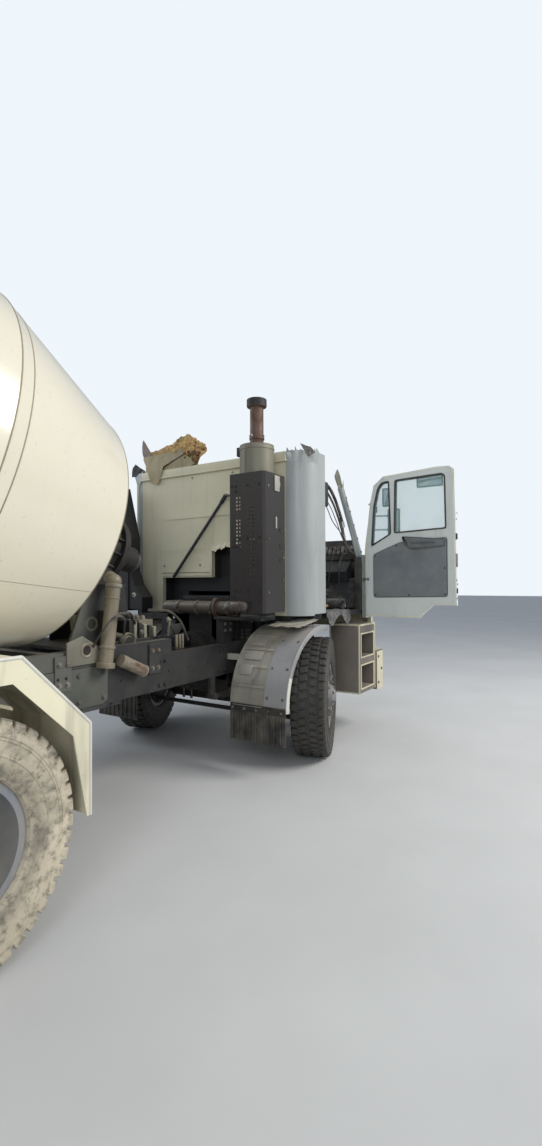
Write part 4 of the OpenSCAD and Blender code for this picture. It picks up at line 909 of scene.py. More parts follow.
class MixerTrim(bpy.types.Operator):
    """Bolts, ribs, rims and brackets of the mixer's frame, hopper, collector, chute and ladder"""

    bl_idname = "mixer.mixer_trim"
    bl_label = "Hopper, chute and pedestals"

    def execute(self, context):
        shape = Shape()
        # Charging hopper: rolled rim and ribs
        shape.turned([(0.438, 3.738), (0.448, 3.733), (0.454, 3.742), (0.448, 3.751), (0.438, 3.748)], "chute paint",
                     56, axis="Z",
                     local=shift(CHUTE_X, 0, 0), closed=True)
        for k in range(8):
            local = shift(CHUTE_X, 0, 0) @ turn(45 * k + 22, "Z")
            shape.plate([(0.192, 3.31), (0.417, 3.728), (0.437, 3.728), (0.235, 3.31)], -0.004, 0.004, "Y",
                        "chute paint", 0, local)
        # Collector: ribs and bolts
        for angle in range(85, 286, 25):
            local = shift(CHUTE_X, 0, 0) @ turn(angle, "Z")
            shape.plate([(0.208, 1.935), (0.598, 2.945), (0.62, 2.945), (0.24, 1.935)], -0.004, 0.004, "Y",
                        "chute paint", 0, local)
        for side in (1, -1):
            shape.bolts([(CHUTE_X - 0.03, side * 0.78, 2.93), (CHUTE_X + 0.03, side * 0.68, 2.93)], (0, 0, 1),
                        "old steel")
            # Rear pedestal: bolts, stiffener and the bar along its frame
            for x in (-5.44, -5.58, -5.70):
                shape.bolts([(x, side * 0.375, 1.22), (x, side * 0.375, 1.35)], (0, side, 0), "old steel")
            shape.plate([(-5.50, 1.7), (-5.40, 1.62), (-5.40, 1.2), (-5.46, 1.2)], side * 0.376, side * 0.392, "Y",
                        "mixer paint and shade", 0.002)
            for z in (2.0, 2.35, 2.7, 3.0):
                shape.bolts([(-5.54 - (z - 1.88) * 0.12, side * 0.926, z)], (0, side, 0), "old steel", 0.024)
            shape.rod((-5.92, side * 0.912, 3.37), (-6.78, side * 0.912, 3.37), 0.03, "mixer paint and shade", sides=12)
            # Work lamp on the frame's end
            shape.box((-6.86, -6.80), span(side, 0.85, 0.97), (3.28, 3.38), "seal", 0.008)
            shape.box((-6.868, -6.858), span(side, 0.86, 0.96), (3.29, 3.37), "bright steel", 0.003)
            # Front pedestal's bolts
            shape.bolts([(x, side * 0.392, 1.30) for x in (-1.862, -1.602)], (1, 0, 0), "old steel")
            shape.bolts([(x, side * 0.362, z) for x, z in ((-1.86, 1.22), (-1.5, 1.22), (-1.8, 1.50), (-1.58, 1.50))],
                        (0, side, 0), "old steel")
            # Bolts of the subframe's shear plates
            for x in (-5.3, -4.4, -3.0, -2.3, -1.5):
                shape.bolts([(x + dx, side * 0.444, z) for dx in (0.03, 0.09) for z in (0.95, 1.08)], (0, side, 0),
                            "old steel")
        # Gearbox flange bolts and ribs
        for k, (x, y) in enumerate(circle(14, 0.24)):
            shape.bolts([(x, y, -0.61)], (0, 0, -1), "old steel", 0.024, local=DRUM_FRAME)
            shape.box((0.225, 0.252), (-0.006, 0.006), (-0.556, -0.444), "mixer paint and shade", 0.003, 1,
                      DRUM_FRAME @ turn(360 * k / 14, "Z"))
        shape.turned([(0.0, -0.925), (0.055, -0.925), (0.075, -0.915), (0.09, -0.862)], "old steel", 28, axis="Z",
                     local=DRUM_FRAME)
        # Ladder's tread caps and bolts
        for k in range(6):
            z = 1.43 + 0.29 * k
            shape.rod((-5.17, 1.19, z), (-4.81, 1.19, z), 0.0165, "rubber", sides=12)
        for z in (1.9, 2.5):
            shape.bolts([(-5.18, 1.212, z), (-4.8, 1.212, z)], (0, 1, 0), "old steel", 0.02)
        shape.done("mixer_trim", "chassis", "mixer_frame_paint")

        swivel = Shape(SWIVEL_FRAME)
        swivel.turned(rect(0.062, 0.075, 1.16, 1.185), "mixer paint and shade", 28, axis="Z", closed=True)
        for k in range(3):
            swivel.box((0.055, 0.075), (-0.006, 0.006), (1.19, 1.43), "mixer paint and shade", 0.003, 1, turn(120 * k + 40, "Z"))
        swivel.bolts([(0.0, 0.131, 1.46), (-0.06, 0.131, 1.49)], (0, 1, 0), "old steel")
        swivel.done("swivel_trim", "swivel", "mixer_frame_paint")

        chute = Shape(CHUTE_FRAME)
        reach = CHUTE_REACH
        for z in (-0.14, 0.15, 0.45, 0.78, 1.12):
            chute.plate(sector(0.213, 0.235, 96), z, z + 0.006, "Z", "chute paint", 0, shift(reach, 0, 0))
        for side in (1, -1):
            chute.rod((reach + 0.02, side * 0.211, -0.15), (reach + 0.02, side * 0.211, 1.08), 0.012, "chute paint",
                      sides=10)
        chute.pipe([(reach - 0.1, 0.225, 0.62), (reach - 0.06, 0.3, 0.64), (reach - 0.06, 0.3, 0.82),
                    (reach - 0.1, 0.225, 0.84)],
                   0.011, "old steel", 10)
        chute.done("chute_trim", "chute_body", "drum_paint")

        fold = Shape(CHUTE_FRAME)
        over = 2 * FOLD_HINGE - reach
        for z in (0.35, 0.65, 0.95):
            fold.plate(sector(0.199, 0.218, -84), z, z + 0.006, "Z", "chute paint", 0, shift(over, 0, 0))
        fold.pipe([(over + 0.2, -0.06, 0.40), (over + 0.26, -0.05, 0.40), (over + 0.26, 0.05, 0.40),
                   (over + 0.2, 0.06, 0.40)],
                  0.01, "old steel", 10)
        fold.done("extension_trim", "extension", "drum_paint")
        return {"FINISHED"}


class CabTrim(bpy.types.Operator):
    """Header, crease, strut, torn edges, hoses and linings of the cab's rear end"""

    bl_idname = "mixer.cab_trim"
    bl_label = "Cab walls and torn edges"

    # Rows: along the torn top of a corner panel, the angle from the rear and the height left of the sheet
    TORN = [(0, 0.0), (9, 0.012), (16, 0.004), (24, 0.03), (31, 0.01), (38, 0.034), (45, 0.016), (53, 0.05),
            (60, 0.022),
            (68, 0.012), (76, 0.045), (84, 0.02), (90, 0.008)]

    def rear_wall(self, shape):
        face = CAB_REAR
        # Header over the rear wall, with the gutter that turns down at the corners
        shape.box((face - 0.016, face + 0.002), (-0.9, 0.9), (2.684, 2.762), "cab paint", 0.007, 3)
        shape.box((face - 0.022, face), (-0.905, 0.905), (2.672, 2.69), "cab paint", 0.006, 3)
        shape.pipe([(face - 0.008, 0.86, 2.68), (face - 0.008, 0.92, 2.672), (face + 0.004, 0.952, 2.60),
                    (face + 0.008, 0.957, 2.3), (face + 0.006, 0.95, 1.95)], 0.008, "cab paint", 10)

        def crease(u, v):
            y = 0.66 - 1.2 * u
            fade = min(1.0, 6 * u * (1 - u) + 0.05)
            return (face + 0.001 - 0.009 * fade * (1 - v) ** 2, y, 2.236 + 0.2 * v)
        shape.skin(crease, 40, 8, 0.0, "cab paint")

        def lower_crease(u, v):
            y = 0.62 - 0.66 * u
            fade = min(1.0, 6 * u * (1 - u))
            return (face + 0.001 - 0.008 * fade * v * v, y, 1.83 + 0.09 * v)
        shape.skin(lower_crease, 24, 6, 0.0, "cab paint")
        # Flange over the opening, and the torn step towards the exhaust
        shape.box((face - 0.012, face + 0.006), (-0.03, 0.6), (1.652, 1.686), "cab paint", 0.004)
        shape.box((face - 0.016, face + 0.002), (-0.03, 0.6), (1.684, 1.69), "old steel", 0.002)
        shape.box((face - 0.012, face + 0.004), (-0.056, -0.026), (1.65, 1.90), "cab paint", 0.004)

        def torn_step(u, v):
            y = -0.05 - 0.5 * u
            z = 1.885 + 0.05 * min(1.0, u * 2.4) + 0.010 * sin(40 * u) + 0.008 * sin(93 * u)
            push = wander((y * 3, v * 2, 0), 6.0, 0.012, 4)
            return (face - 0.004 - 0.014 * (1 - v) + push.x * (1 - v), y, z + 0.05 * v)
        shape.skin(torn_step, 40, 4, 0.002, "cab paint")
        for z, y in ((1.76, 0.58), (1.76, 0.1), (2.64, 0.7), (2.64, -0.3), (2.64, 0.2)):
            shape.bolts([(face, y, z)], (-1, 0, 0), "old steel", 0.016, 0.007)
        # Strut across the wall, from its eye down into the opening
        shape.rod((face - 0.05, -0.255, 2.41), (face - 0.035, 0.42, 1.645), 0.0155, "plastic", sides=18)
        shape.rod((face - 0.055, -0.262, 2.418), (face - 0.048, -0.20, 2.347), 0.021, "plastic", sides=18, edge=0.004)
        shape.rod((face - 0.07, -0.262, 2.42), (face, -0.262, 2.42), 0.013, "old steel", sides=14, edge=0.002)
        shape.box((face - 0.008, face), (-0.30, -0.22), (2.385, 2.455), "cab paint", 0.003)

    def corners(self, shape):
        for side in (1, -1):
            y0 = side * (CAB_HALF - CAB_CORNER)

            def edge(u, v, side=side, y0=y0):
                angle = 90 * u
                rise = 0.0
                for (a0, h0), (a1, h1) in zip(self.TORN, self.TORN[1:]):
                    if a0 <= angle <= a1:
                        rise = h0 + (h1 - h0) * (angle - a0) / (a1 - a0)
                lean = 0.02 * sin(7 * u + side) * v
                r = CAB_CORNER + 0.001 - lean
                push = wander((u * 4, side, v), 3.0, 0.01, 2)
                return (CAB_REAR + CAB_CORNER - r * cos(radians(angle)),
                        y0 + side * r * sin(radians(angle)) + push.y * v,
                        CAB_TOP - 0.10 + (0.075 + rise * (1.2 if side < 0 else 0.6)) * v)
            shape.skin(edge, 48, 4, 0.002, "panel paint")
            # Bent lips and rusty shreds along the torn top
            rng = random.Random(11 + side)
            for k in range(9):
                angle = radians(8 + 10 * k)
                at = Vector((CAB_REAR + CAB_CORNER - CAB_CORNER * cos(angle), y0 + side * CAB_CORNER * sin(angle),
                             CAB_TOP - 0.02))
                high, wide = rng.uniform(0.02, 0.07), rng.uniform(0.02, 0.05)
                curl = rng.uniform(-0.03, 0.03)

                def shred(u, v, at=at, high=high, wide=wide, curl=curl, angle=angle):
                    along = (u - 0.5) * wide * (1 - 0.8 * v)
                    return (at.x + along * sin(angle) + curl * v * v,
                            at.y + side * along * cos(angle) - side * 0.02 * v,
                            at.z + high * v + 0.006 * sin(9 * u + k))
                shape.skin(shred, 4, 4, 0.0015, "old steel" if k % 3 else "panel paint")

        # Rusty flap bent outwards on the right corner
        flap = [Vector(point) for point in ((-0.2, -1.005, 2.834), (-0.2, -1.092, 2.70), (-0.22, -1.168, 2.726),
                                            (-0.2, -1.12, 2.783))]

        def bent(u, v):
            push = wander((u * 2, v * 2, 3), 3.0, 0.008, 6)
            return flap[0].lerp(flap[1], u).lerp(flap[3].lerp(flap[2], u), v) + push
        shape.skin(bent, 12, 6, 0.002, "old steel")

    def pillars(self, shape):
        for side in (1, -1):
            # Door seal and striker on the rear pillar
            shape.box((0.087, 0.0895), span(side, 1.068, 1.108), (1.31, 2.60), "seal", 0.001)
            shape.box((0.087, 0.0905), span(side, 1.07, 1.098), (1.74, 1.82), "old steel", 0.001)
            # Dark strip in the seal's rubber down the front jamb, as painted shade on the jamb, and the torn liner of
            # the cut windscreen pillar
            shape.box((1.050, 1.062), span(side, 0.985, 1.056), (1.26, 1.86), "seal", 0.004)
            shape.pipe([(1.09, side * 1.0, 1.86), (1.03, side * 0.985, 2.02), (0.985, side * 0.95, 2.25),
                        (0.90, side * 0.905, 2.55)],
                       0.016, "panel paint", 10)
            for k in range(5):
                t = 0.1 + 0.19 * k
                shape.bolts([(1.13 - 0.24 * t, side * (1.02 - 0.12 * t) + side * 0.036, 1.84 + 0.76 * t)], (0, side, 0),
                            "old steel", 0.014, 0.006)

            def cut(u, v, side=side):
                push = wander((u * 3, v * 3, side), 4.0, 0.022, 9)
                angle = 2 * pi * u
                return (0.892 + 0.032 * cos(angle) * (1 - 0.3 * v), side * 0.9 + 0.032 * sin(angle),
                        2.585 + 0.05 * v * (1 + sin(3 * angle)) + push.z * v)
            shape.skin(cut, 20, 3, 0.002, "old steel")

            def stub(u, v, side=side):
                wide = 0.046 * (1 - 0.15 * v) * (1 + 0.08 * sin(17 * v)) * (2 * u - 1)
                middle = Vector((0.955, side * 0.935, 2.40)).lerp(Vector((0.86, side * 0.862, 2.765)), v)
                fold = 0.022 * (1 - abs(2 * u - 1))
                return (middle.x + 0.4 * wide - fold, middle.y - side * 0.85 * wide,
                        middle.z + 0.03 * v * sin(5 * u + 1))
            shape.skin(stub, 12, 20, 0.006, "lining")
        # Harness and hoses that hang from the right pillar to the dashboard
        y = -1.02
        hoses = (([(0.141, 2.487), (0.192, 2.525), (0.331, 2.523), (0.475, 2.433), (0.567, 2.332), (0.662, 2.211),
                   (0.69, 2.11), (0.80, 1.97),
                   (1.05, 1.89), (1.2, 1.865)], 0.017),
                 ([(0.14, 2.43), (0.191, 2.449), (0.277, 2.469), (0.401, 2.407), (0.547, 2.265), (0.641, 2.144),
                   (0.76, 2.0), (1.0, 1.90),
                   (1.22, 1.86)], 0.012),
                 ([(0.15, 2.36), (0.258, 2.343), (0.434, 2.19), (0.621, 2.093), (0.85, 1.97), (1.22, 1.85)], 0.005),
                 ([(0.15, 2.40), (0.30, 2.38), (0.52, 2.20), (0.66, 2.05), (0.9, 1.93), (1.24, 1.85)], 0.005))
        for points, r in hoses:
            shape.pipe([(x, y + 0.1 * max(0.0, x - 0.62), z) for x, z in points], r, "hose", 10)
        shape.box((0.092, 0.285), (-1.052, -0.985), (2.315, 2.55), "plastic", 0.014, 3)
        shape.rod((0.655, y, 2.215), (0.682, y, 2.15), 0.021, "bright steel", sides=16, edge=0.004)
        shape.rod((0.70, y + 0.006, 2.085), (0.725, y + 0.008, 2.045), 0.017, "bright steel", sides=16, edge=0.003)

    def linings(self, shape):
        inner = CAB_REAR + 0.045

        def quilt(u, v):
            y, z = -0.86 + 1.72 * u, 1.97 + 0.75 * v
            pillow = 0.010 * abs(sin(pi * 8 * u)) ** 0.5 * abs(sin(pi * 4 * v)) ** 0.5
            return (inner + 0.012 + pillow + wander((y, z, 1), 2.0, 0.008, 3).x, y, z)
        shape.skin(quilt, 96, 60, 0.0, "trim", flip=True)
        for y, z in (((-0.87, 0.87), (1.956, 2.73)), ((-0.01, 0.87), (1.69, 1.956)), ((-0.87, -0.625), (1.30, 1.956))):
            shape.box((inner, inner + 0.014), y, z, "trim", 0.004)

        # Torn carpet that hangs over the right doorway's sill
        def carpet(u, v):
            x = 0.14 + 0.52 * u
            push = wander((x * 2.5, v * 2.2, 0.4), 3.4, 0.032, 8)
            y = -0.90 - 0.2 * min(1.0, v * 1.6) - 0.02 * max(0.0, v - 0.62)
            z = 1.300 - max(0.0, v - 0.58) * 0.24 * (0.8 + 0.5 * sin(9 * u))
            return (x + push.x * 0.5, y + push.y * 0.4, z + abs(push.z) * 0.8)
        shape.skin(carpet, 44, 26, 0.008, "floor carpet")

        def mat(u, v):
            push = wander((u * 3, v * 3, 2), 2.6, 0.02, 12)
            return (0.2 + 0.72 * u, -0.9 + 0.42 * v, 1.289 + abs(push.z))
        shape.skin(mat, 30, 20, 0.004, "floor carpet")

    def execute(self, context):
        shape = Shape()
        self.rear_wall(shape)
        self.corners(shape)
        self.pillars(shape)
        self.linings(shape)
        shape.done("cab_trim", "cab", "cab_paint")
        return {"FINISHED"}


class TornRoof(bpy.types.Operator):
    """What is left of the roof: a folded sheet and its torn foam"""

    bl_idname = "mixer.torn_roof"
    bl_label = "Torn roof"

    # Outlines by rows: place across the cab, lowest and highest point of what stands there
    FOAM = [(0.86, 2.80, 2.94), (0.781, 2.79, 2.983), (0.679, 2.79, 2.985), (0.565, 2.79, 3.011), (0.50, 2.79, 3.02),
            (0.44, 2.79, 3.041),
            (0.40, 2.78, 3.066), (0.344, 2.77, 3.078), (0.30, 2.77, 3.082), (0.26, 2.76, 3.098), (0.24, 2.76, 3.088),
            (0.20, 2.76, 3.058),
            (0.171, 2.76, 3.043), (0.135, 2.76, 3.016), (0.124, 2.83, 3.01), (0.102, 2.862, 2.995),
            (0.068, 2.887, 2.972),
            (0.018, 2.92, 2.926)]
    PEAK = [(0.905, 3.03, 3.05), (0.893, 2.97, 3.10), (0.879, 2.93, 3.121), (0.85, 2.90, 3.083), (0.806, 2.88, 3.02),
            (0.772, 2.90, 2.975)]
    SHEET = [(0.872, 2.905, 2.925), (0.834, 2.842, 2.931), (0.806, 2.795, 2.933), (0.793, 2.768, 2.934),
             (0.754, 2.650, 2.934),
             (0.70, 2.632, 2.935), (0.651, 2.618, 2.935), (0.638, 2.628, 2.935), (0.585, 2.745, 2.936),
             (0.574, 2.792, 2.937),
             (0.50, 2.818, 2.942), (0.425, 2.845, 2.948), (0.35, 2.87, 2.951), (0.316, 2.883, 2.95),
             (0.292, 2.89, 2.90)]
    UNDER = [(0.574, 2.76, 2.786), (0.45, 2.76, 2.832), (0.292, 2.76, 2.887), (0.22, 2.762, 2.848),
             (0.174, 2.775, 2.822), (0.15, 2.79, 2.80)]
    SHARD = [(1.09, 2.75, 2.80), (1.075, 2.75, 2.85), (1.03, 2.75, 2.884), (0.95, 2.75, 2.832), (0.879, 2.75, 2.788)]

    def rows(self, outline, u):
        """The place, lowest and highest point a share u of the way along an outline's rows."""
        reach = u * (len(outline) - 1)
        k = min(int(reach), len(outline) - 2)
        return [a + (b - a) * (reach - k) for a, b in zip(outline[k], outline[k + 1])]

    def torn(self, shape, outline, face, wall, finish, rough, ragged, seed, across=96, along=14):
        """A torn sheet or pad inside an outline, wavy and frayed at its top."""
        def place(u, v):
            y, low, high = self.rows(outline, u)
            fray = ragged * (sin(61 * u + seed) + 0.8 * sin(137 * u + 1)) * v
            z = low + (high - low) * v
            push = wander((y * 3, z * 3, seed), 2.4, rough, seed)
            lump = noise.noise(Vector((y * 16, z * 16, seed))) * rough * 0.7
            return (face(z) + push.x + lump, y + push.y * 0.3, z + fray)
        shape.skin(place, across, along, wall, finish)

    def execute(self, context):
        shape = Shape()
        lean = CAB_REAR - 0.002
        self.torn(shape, self.FOAM, lambda z: lean + 0.012, 0.03, "foam", 0.014, 0.004, 2, 150, 22)
        self.torn(shape, self.PEAK, lambda z: lean + 0.002, 0.006, "faded liner", 0.008, 0.002, 3, 40, 10)
        self.torn(shape, self.SHEET, lambda z: CAB_REAR - 0.027 + 0.018 * max(0.0, min(1.0, (z - 2.77) / 0.16)), 0.003,
                  "roof sheet", 0.006, 0.0015, 5)
        self.torn(shape, self.UNDER, lambda z: CAB_REAR - 0.012, 0.003, "roof sheet", 0.004, 0.001, 7, 50, 8)
        self.torn(shape, self.SHARD, lambda z: CAB_REAR + 0.03, 0.003, "plastic", 0.008, 0.002, 9, 24, 6)
        # Lumps of foam, orange on the peak and brown under it; none in front of the folded sheet
        rng = random.Random(5)
        for k in range(70):
            u = rng.uniform(0.22, 0.97)
            y, low, high = self.rows(self.FOAM, u)
            up = rng.uniform(0.15, 0.97)
            z = low + (high - low) * up
            if 0.30 < y < 0.87 and z < 2.945:
                continue
            form = bmesh.new()
            bmesh.ops.create_icosphere(form, subdivisions=2, radius=rng.uniform(0.010, 0.024))
            for v in form.verts:
                v.co += wander(v.co, 45.0, 0.009, k)
                v.co.x *= 0.6
            shape.add(form, "foam" if z > 2.93 else "foam brown", shift(lean + rng.uniform(-0.012, 0.008), y, z))
        # Painted shade: a thin dark rod along the sheet's fold, where its shadow falls
        shape.pipe([(CAB_REAR - 0.024, 0.57, 2.792), (CAB_REAR - 0.017, 0.43, 2.845), (CAB_REAR - 0.012, 0.30, 2.893)],
                   0.0045, "plastic", 8)
        shape.done("roof_remains", "cab", "torn_lining", "torn_roof")
        return {"FINISHED"}


class DoorTrim(bpy.types.Operator):
    """Glass, seals, trim panels, latches and mirrors of the doors"""

    bl_idname = "mixer.door_trim"
    bl_label = "Door glass, trim and mirrors"

    MAIN = [(0.725, 2.090), (0.715, 2.645), (0.230, 2.665), (0.200, 2.640), (0.192, 2.112)]
    VENT = [(0.975, 1.960), (0.948, 2.380), (0.905, 2.570), (0.860, 2.632), (0.775, 2.645), (0.757, 2.085)]
    TRIM = [(0.955, 1.420), (0.955, 1.877), (0.658, 1.995), (0.185, 2.025), (0.185, 1.436)]
    INNER, OUTER = 1.062, 1.110

    def execute(self, context):
        for label, side in SIDES:
            shape = Shape(DOOR_FRAMES[label])
            for window in (self.MAIN, self.VENT):
                outline = rounded(window, 0.03)
                wide = inset_outline(outline, -0.003)
                shape.frame(wide, 0.016, self.INNER - 0.005, self.INNER + 0.012, "Y", "seal")
                shape.frame(wide, 0.016, self.OUTER - 0.012, self.OUTER + 0.004, "Y", "seal")
                shape.frame(outline, 0.010, self.INNER + 0.01, self.OUTER - 0.01, "Y", "seal")
            # Trim panel with its pull recess
            recess = self.INNER - 0.002
            panel = rounded(self.TRIM, 0.03)
            shape.plate(panel, recess + 0.006, recess + 0.010, "Y", "seal", 0.001)
            shape.plate(inset_outline(panel, 0.006), recess, recess + 0.008, "Y", "trim", 0.003)
            pull = [(0.20, 2.012), (0.205, 1.935)]
            pull += [(0.52 + 0.12 * sin(radians(15 * k)), 2.035 - 0.12 * cos(radians(15 * k)) + 0.02 * k / 6)
                     for k in range(7)]
            pull = rounded(pull, 0.02)
            shape.plate(pull, recess - 0.012, recess + 0.004, "Y", "dark trim", 0.005)
            shape.plate(inset_outline(pull, 0.014), recess - 0.014, recess - 0.008, "Y", "trim", 0.002)
            shape.box((0.30, 0.54), (recess - 0.024, recess - 0.008), (1.972, 1.994), "dark trim", 0.007, 3)
            for x, z in ((0.93, 1.45), (0.93, 1.86), (0.70, 1.96), (0.21, 1.46), (0.57, 1.45), (0.21, 1.72)):
                shape.turned([(0.0, -0.006), (0.007, -0.005), (0.009, 0.0)], "plastic", 12, local=shift(x, recess, z))
            # Weather strip and pressed edge round the inner frame
            border = [(1.034, 1.228), (1.034, 1.98), (1.004, 2.19), (0.977, 2.42), (0.936, 2.603), (0.836, 2.685),
                      (0.29, 2.725),
                      (0.165, 2.72), (0.122, 2.684), (0.108, 1.360), (0.334, 1.360), (0.474, 1.226)]
            shape.frame(rounded(border, 0.02), 0.006, self.INNER - 0.004, self.INNER + 0.001, "Y", "guard paint")
            # Latch, wedges, bolts and check strap
            shape.box((0.0925, 0.104), (1.066, 1.104), (1.73, 1.86), "old steel", 0.003)
            shape.box((0.0915, 0.100), (1.076, 1.094), (1.77, 1.81), "bright steel", 0.003)
            shape.bolts([(0.098, 1.072 + 0.026 * (k % 2), z) for k,
                         z in enumerate((1.745, 1.845, 1.60, 1.56, 2.2, 2.26, 1.42))],
                        (-1, 0, 0), "old steel", 0.012, 0.005)
            for z in ((2.00, 2.06), (1.47, 1.52)):
                shape.box((0.0915, 0.102), (1.070, 1.100), z, "plastic", 0.004)
            shape.box((0.125, 0.15), (self.INNER - 0.004, self.INNER + 0.001), (1.76, 1.82), "door paint", 0.002)
            shape.box((1.0, 1.075), (self.INNER - 0.002, self.INNER + 0.004), (1.60, 1.63), "old steel", 0.002)
            for z in (1.40, 1.85):
                shape.rod((*HINGE, z - 0.004), (*HINGE, z + 0.1), 0.007, "bright steel", sides=14, edge=0.002)
                shape.bolts([(1.03, 1.1215, z + 0.06), (1.03, 1.1215, z + 0.085)], (0, 1, 0), "old steel", 0.014, 0.006)
            # Outer handle, its lock and the pressed line
            shape.plate(rounded([(0.14, 1.80), (0.14, 1.90), (0.34, 1.90), (0.34, 1.80)], 0.02), self.OUTER - 0.001,
                        self.OUTER + 0.004, "Y", "plastic", 0.002)
            shape.pipe([(0.16, self.OUTER + 0.002, 1.862), (0.18, self.OUTER + 0.022, 1.866),
                        (0.30, self.OUTER + 0.022, 1.866), (0.32, self.OUTER + 0.002, 1.862)], 0.009, "plastic", 12)
            shape.rod((0.235, self.OUTER, 1.825), (0.235, self.OUTER + 0.007, 1.825), 0.011, "bright steel", sides=20,
                      edge=0.002)

            def pressed(u, v):
                return (0.12 + 0.90 * u, self.OUTER + 0.006 * min(1.0, 12 * u * (1 - u)) * sin(pi * v),
                        1.955 + 0.05 * v)
            shape.skin(pressed, 30, 6, 0.0, "door paint", flip=True)
            # Mirrors: glass towards the driver, housings and arms' clamps
            for x0, x1, z0, z1, y in ((0.715, 0.85, 2.08, 2.37, 1.23), (0.775, 0.91, 2.40, 2.60, 1.23),
                                      (0.245, 0.515, 2.56, 2.69, 1.17)):
                face = rounded([(x0, z0), (x0, z1), (x1, z1), (x1, z0)], 0.028)
                shape.plate(inset_outline(face, 0.012), y - 0.0035, y - 0.001, "Y", "mirror", 0.001)
                shape.frame(face, 0.013, y - 0.007, y + 0.002, "Y", "plastic")
                back = y + (0.035 if x0 < 0.5 else 0.030)
                shape.plate(inset_outline(face, 0.004), back - 0.004, back + 0.012, "Y", "plastic", 0.008)
            for x, z in ((0.985, 2.02), (0.95, 2.36)):
                shape.box((x - 0.025, x + 0.018), (self.OUTER - 0.002, self.OUTER + 0.012), (z - 0.035, z + 0.035),
                          "plastic", 0.006)
                shape.bolts([(x - 0.004, self.OUTER + 0.011, z + dz) for dz in (0.022, -0.022)], (0, 1, 0), "old steel",
                            0.012, 0.005)
            for z in (2.15, 2.3):
                shape.rod((1.015, 1.166, z - 0.022), (1.015, 1.166, z + 0.022), 0.018, "plastic", sides=16, edge=0.004)
                shape.rod((0.845, 1.243, z - 0.018), (0.845, 1.243, z + 0.018), 0.016, "plastic", sides=16, edge=0.004)
            shape.done("door_trim_" + label, "door_%s_body" % label, "dark_plastic")

            panes = Shape(DOOR_FRAMES[label])
            for window in (self.MAIN, self.VENT):
                panes.plate(inset_outline(rounded(window, 0.03), 0.004), 1.083, 1.088, "Y", "glass", 0)
            panes.done("door_glass_" + label, "door_%s_body" % label, "lamp_lens")
        return {"FINISHED"}


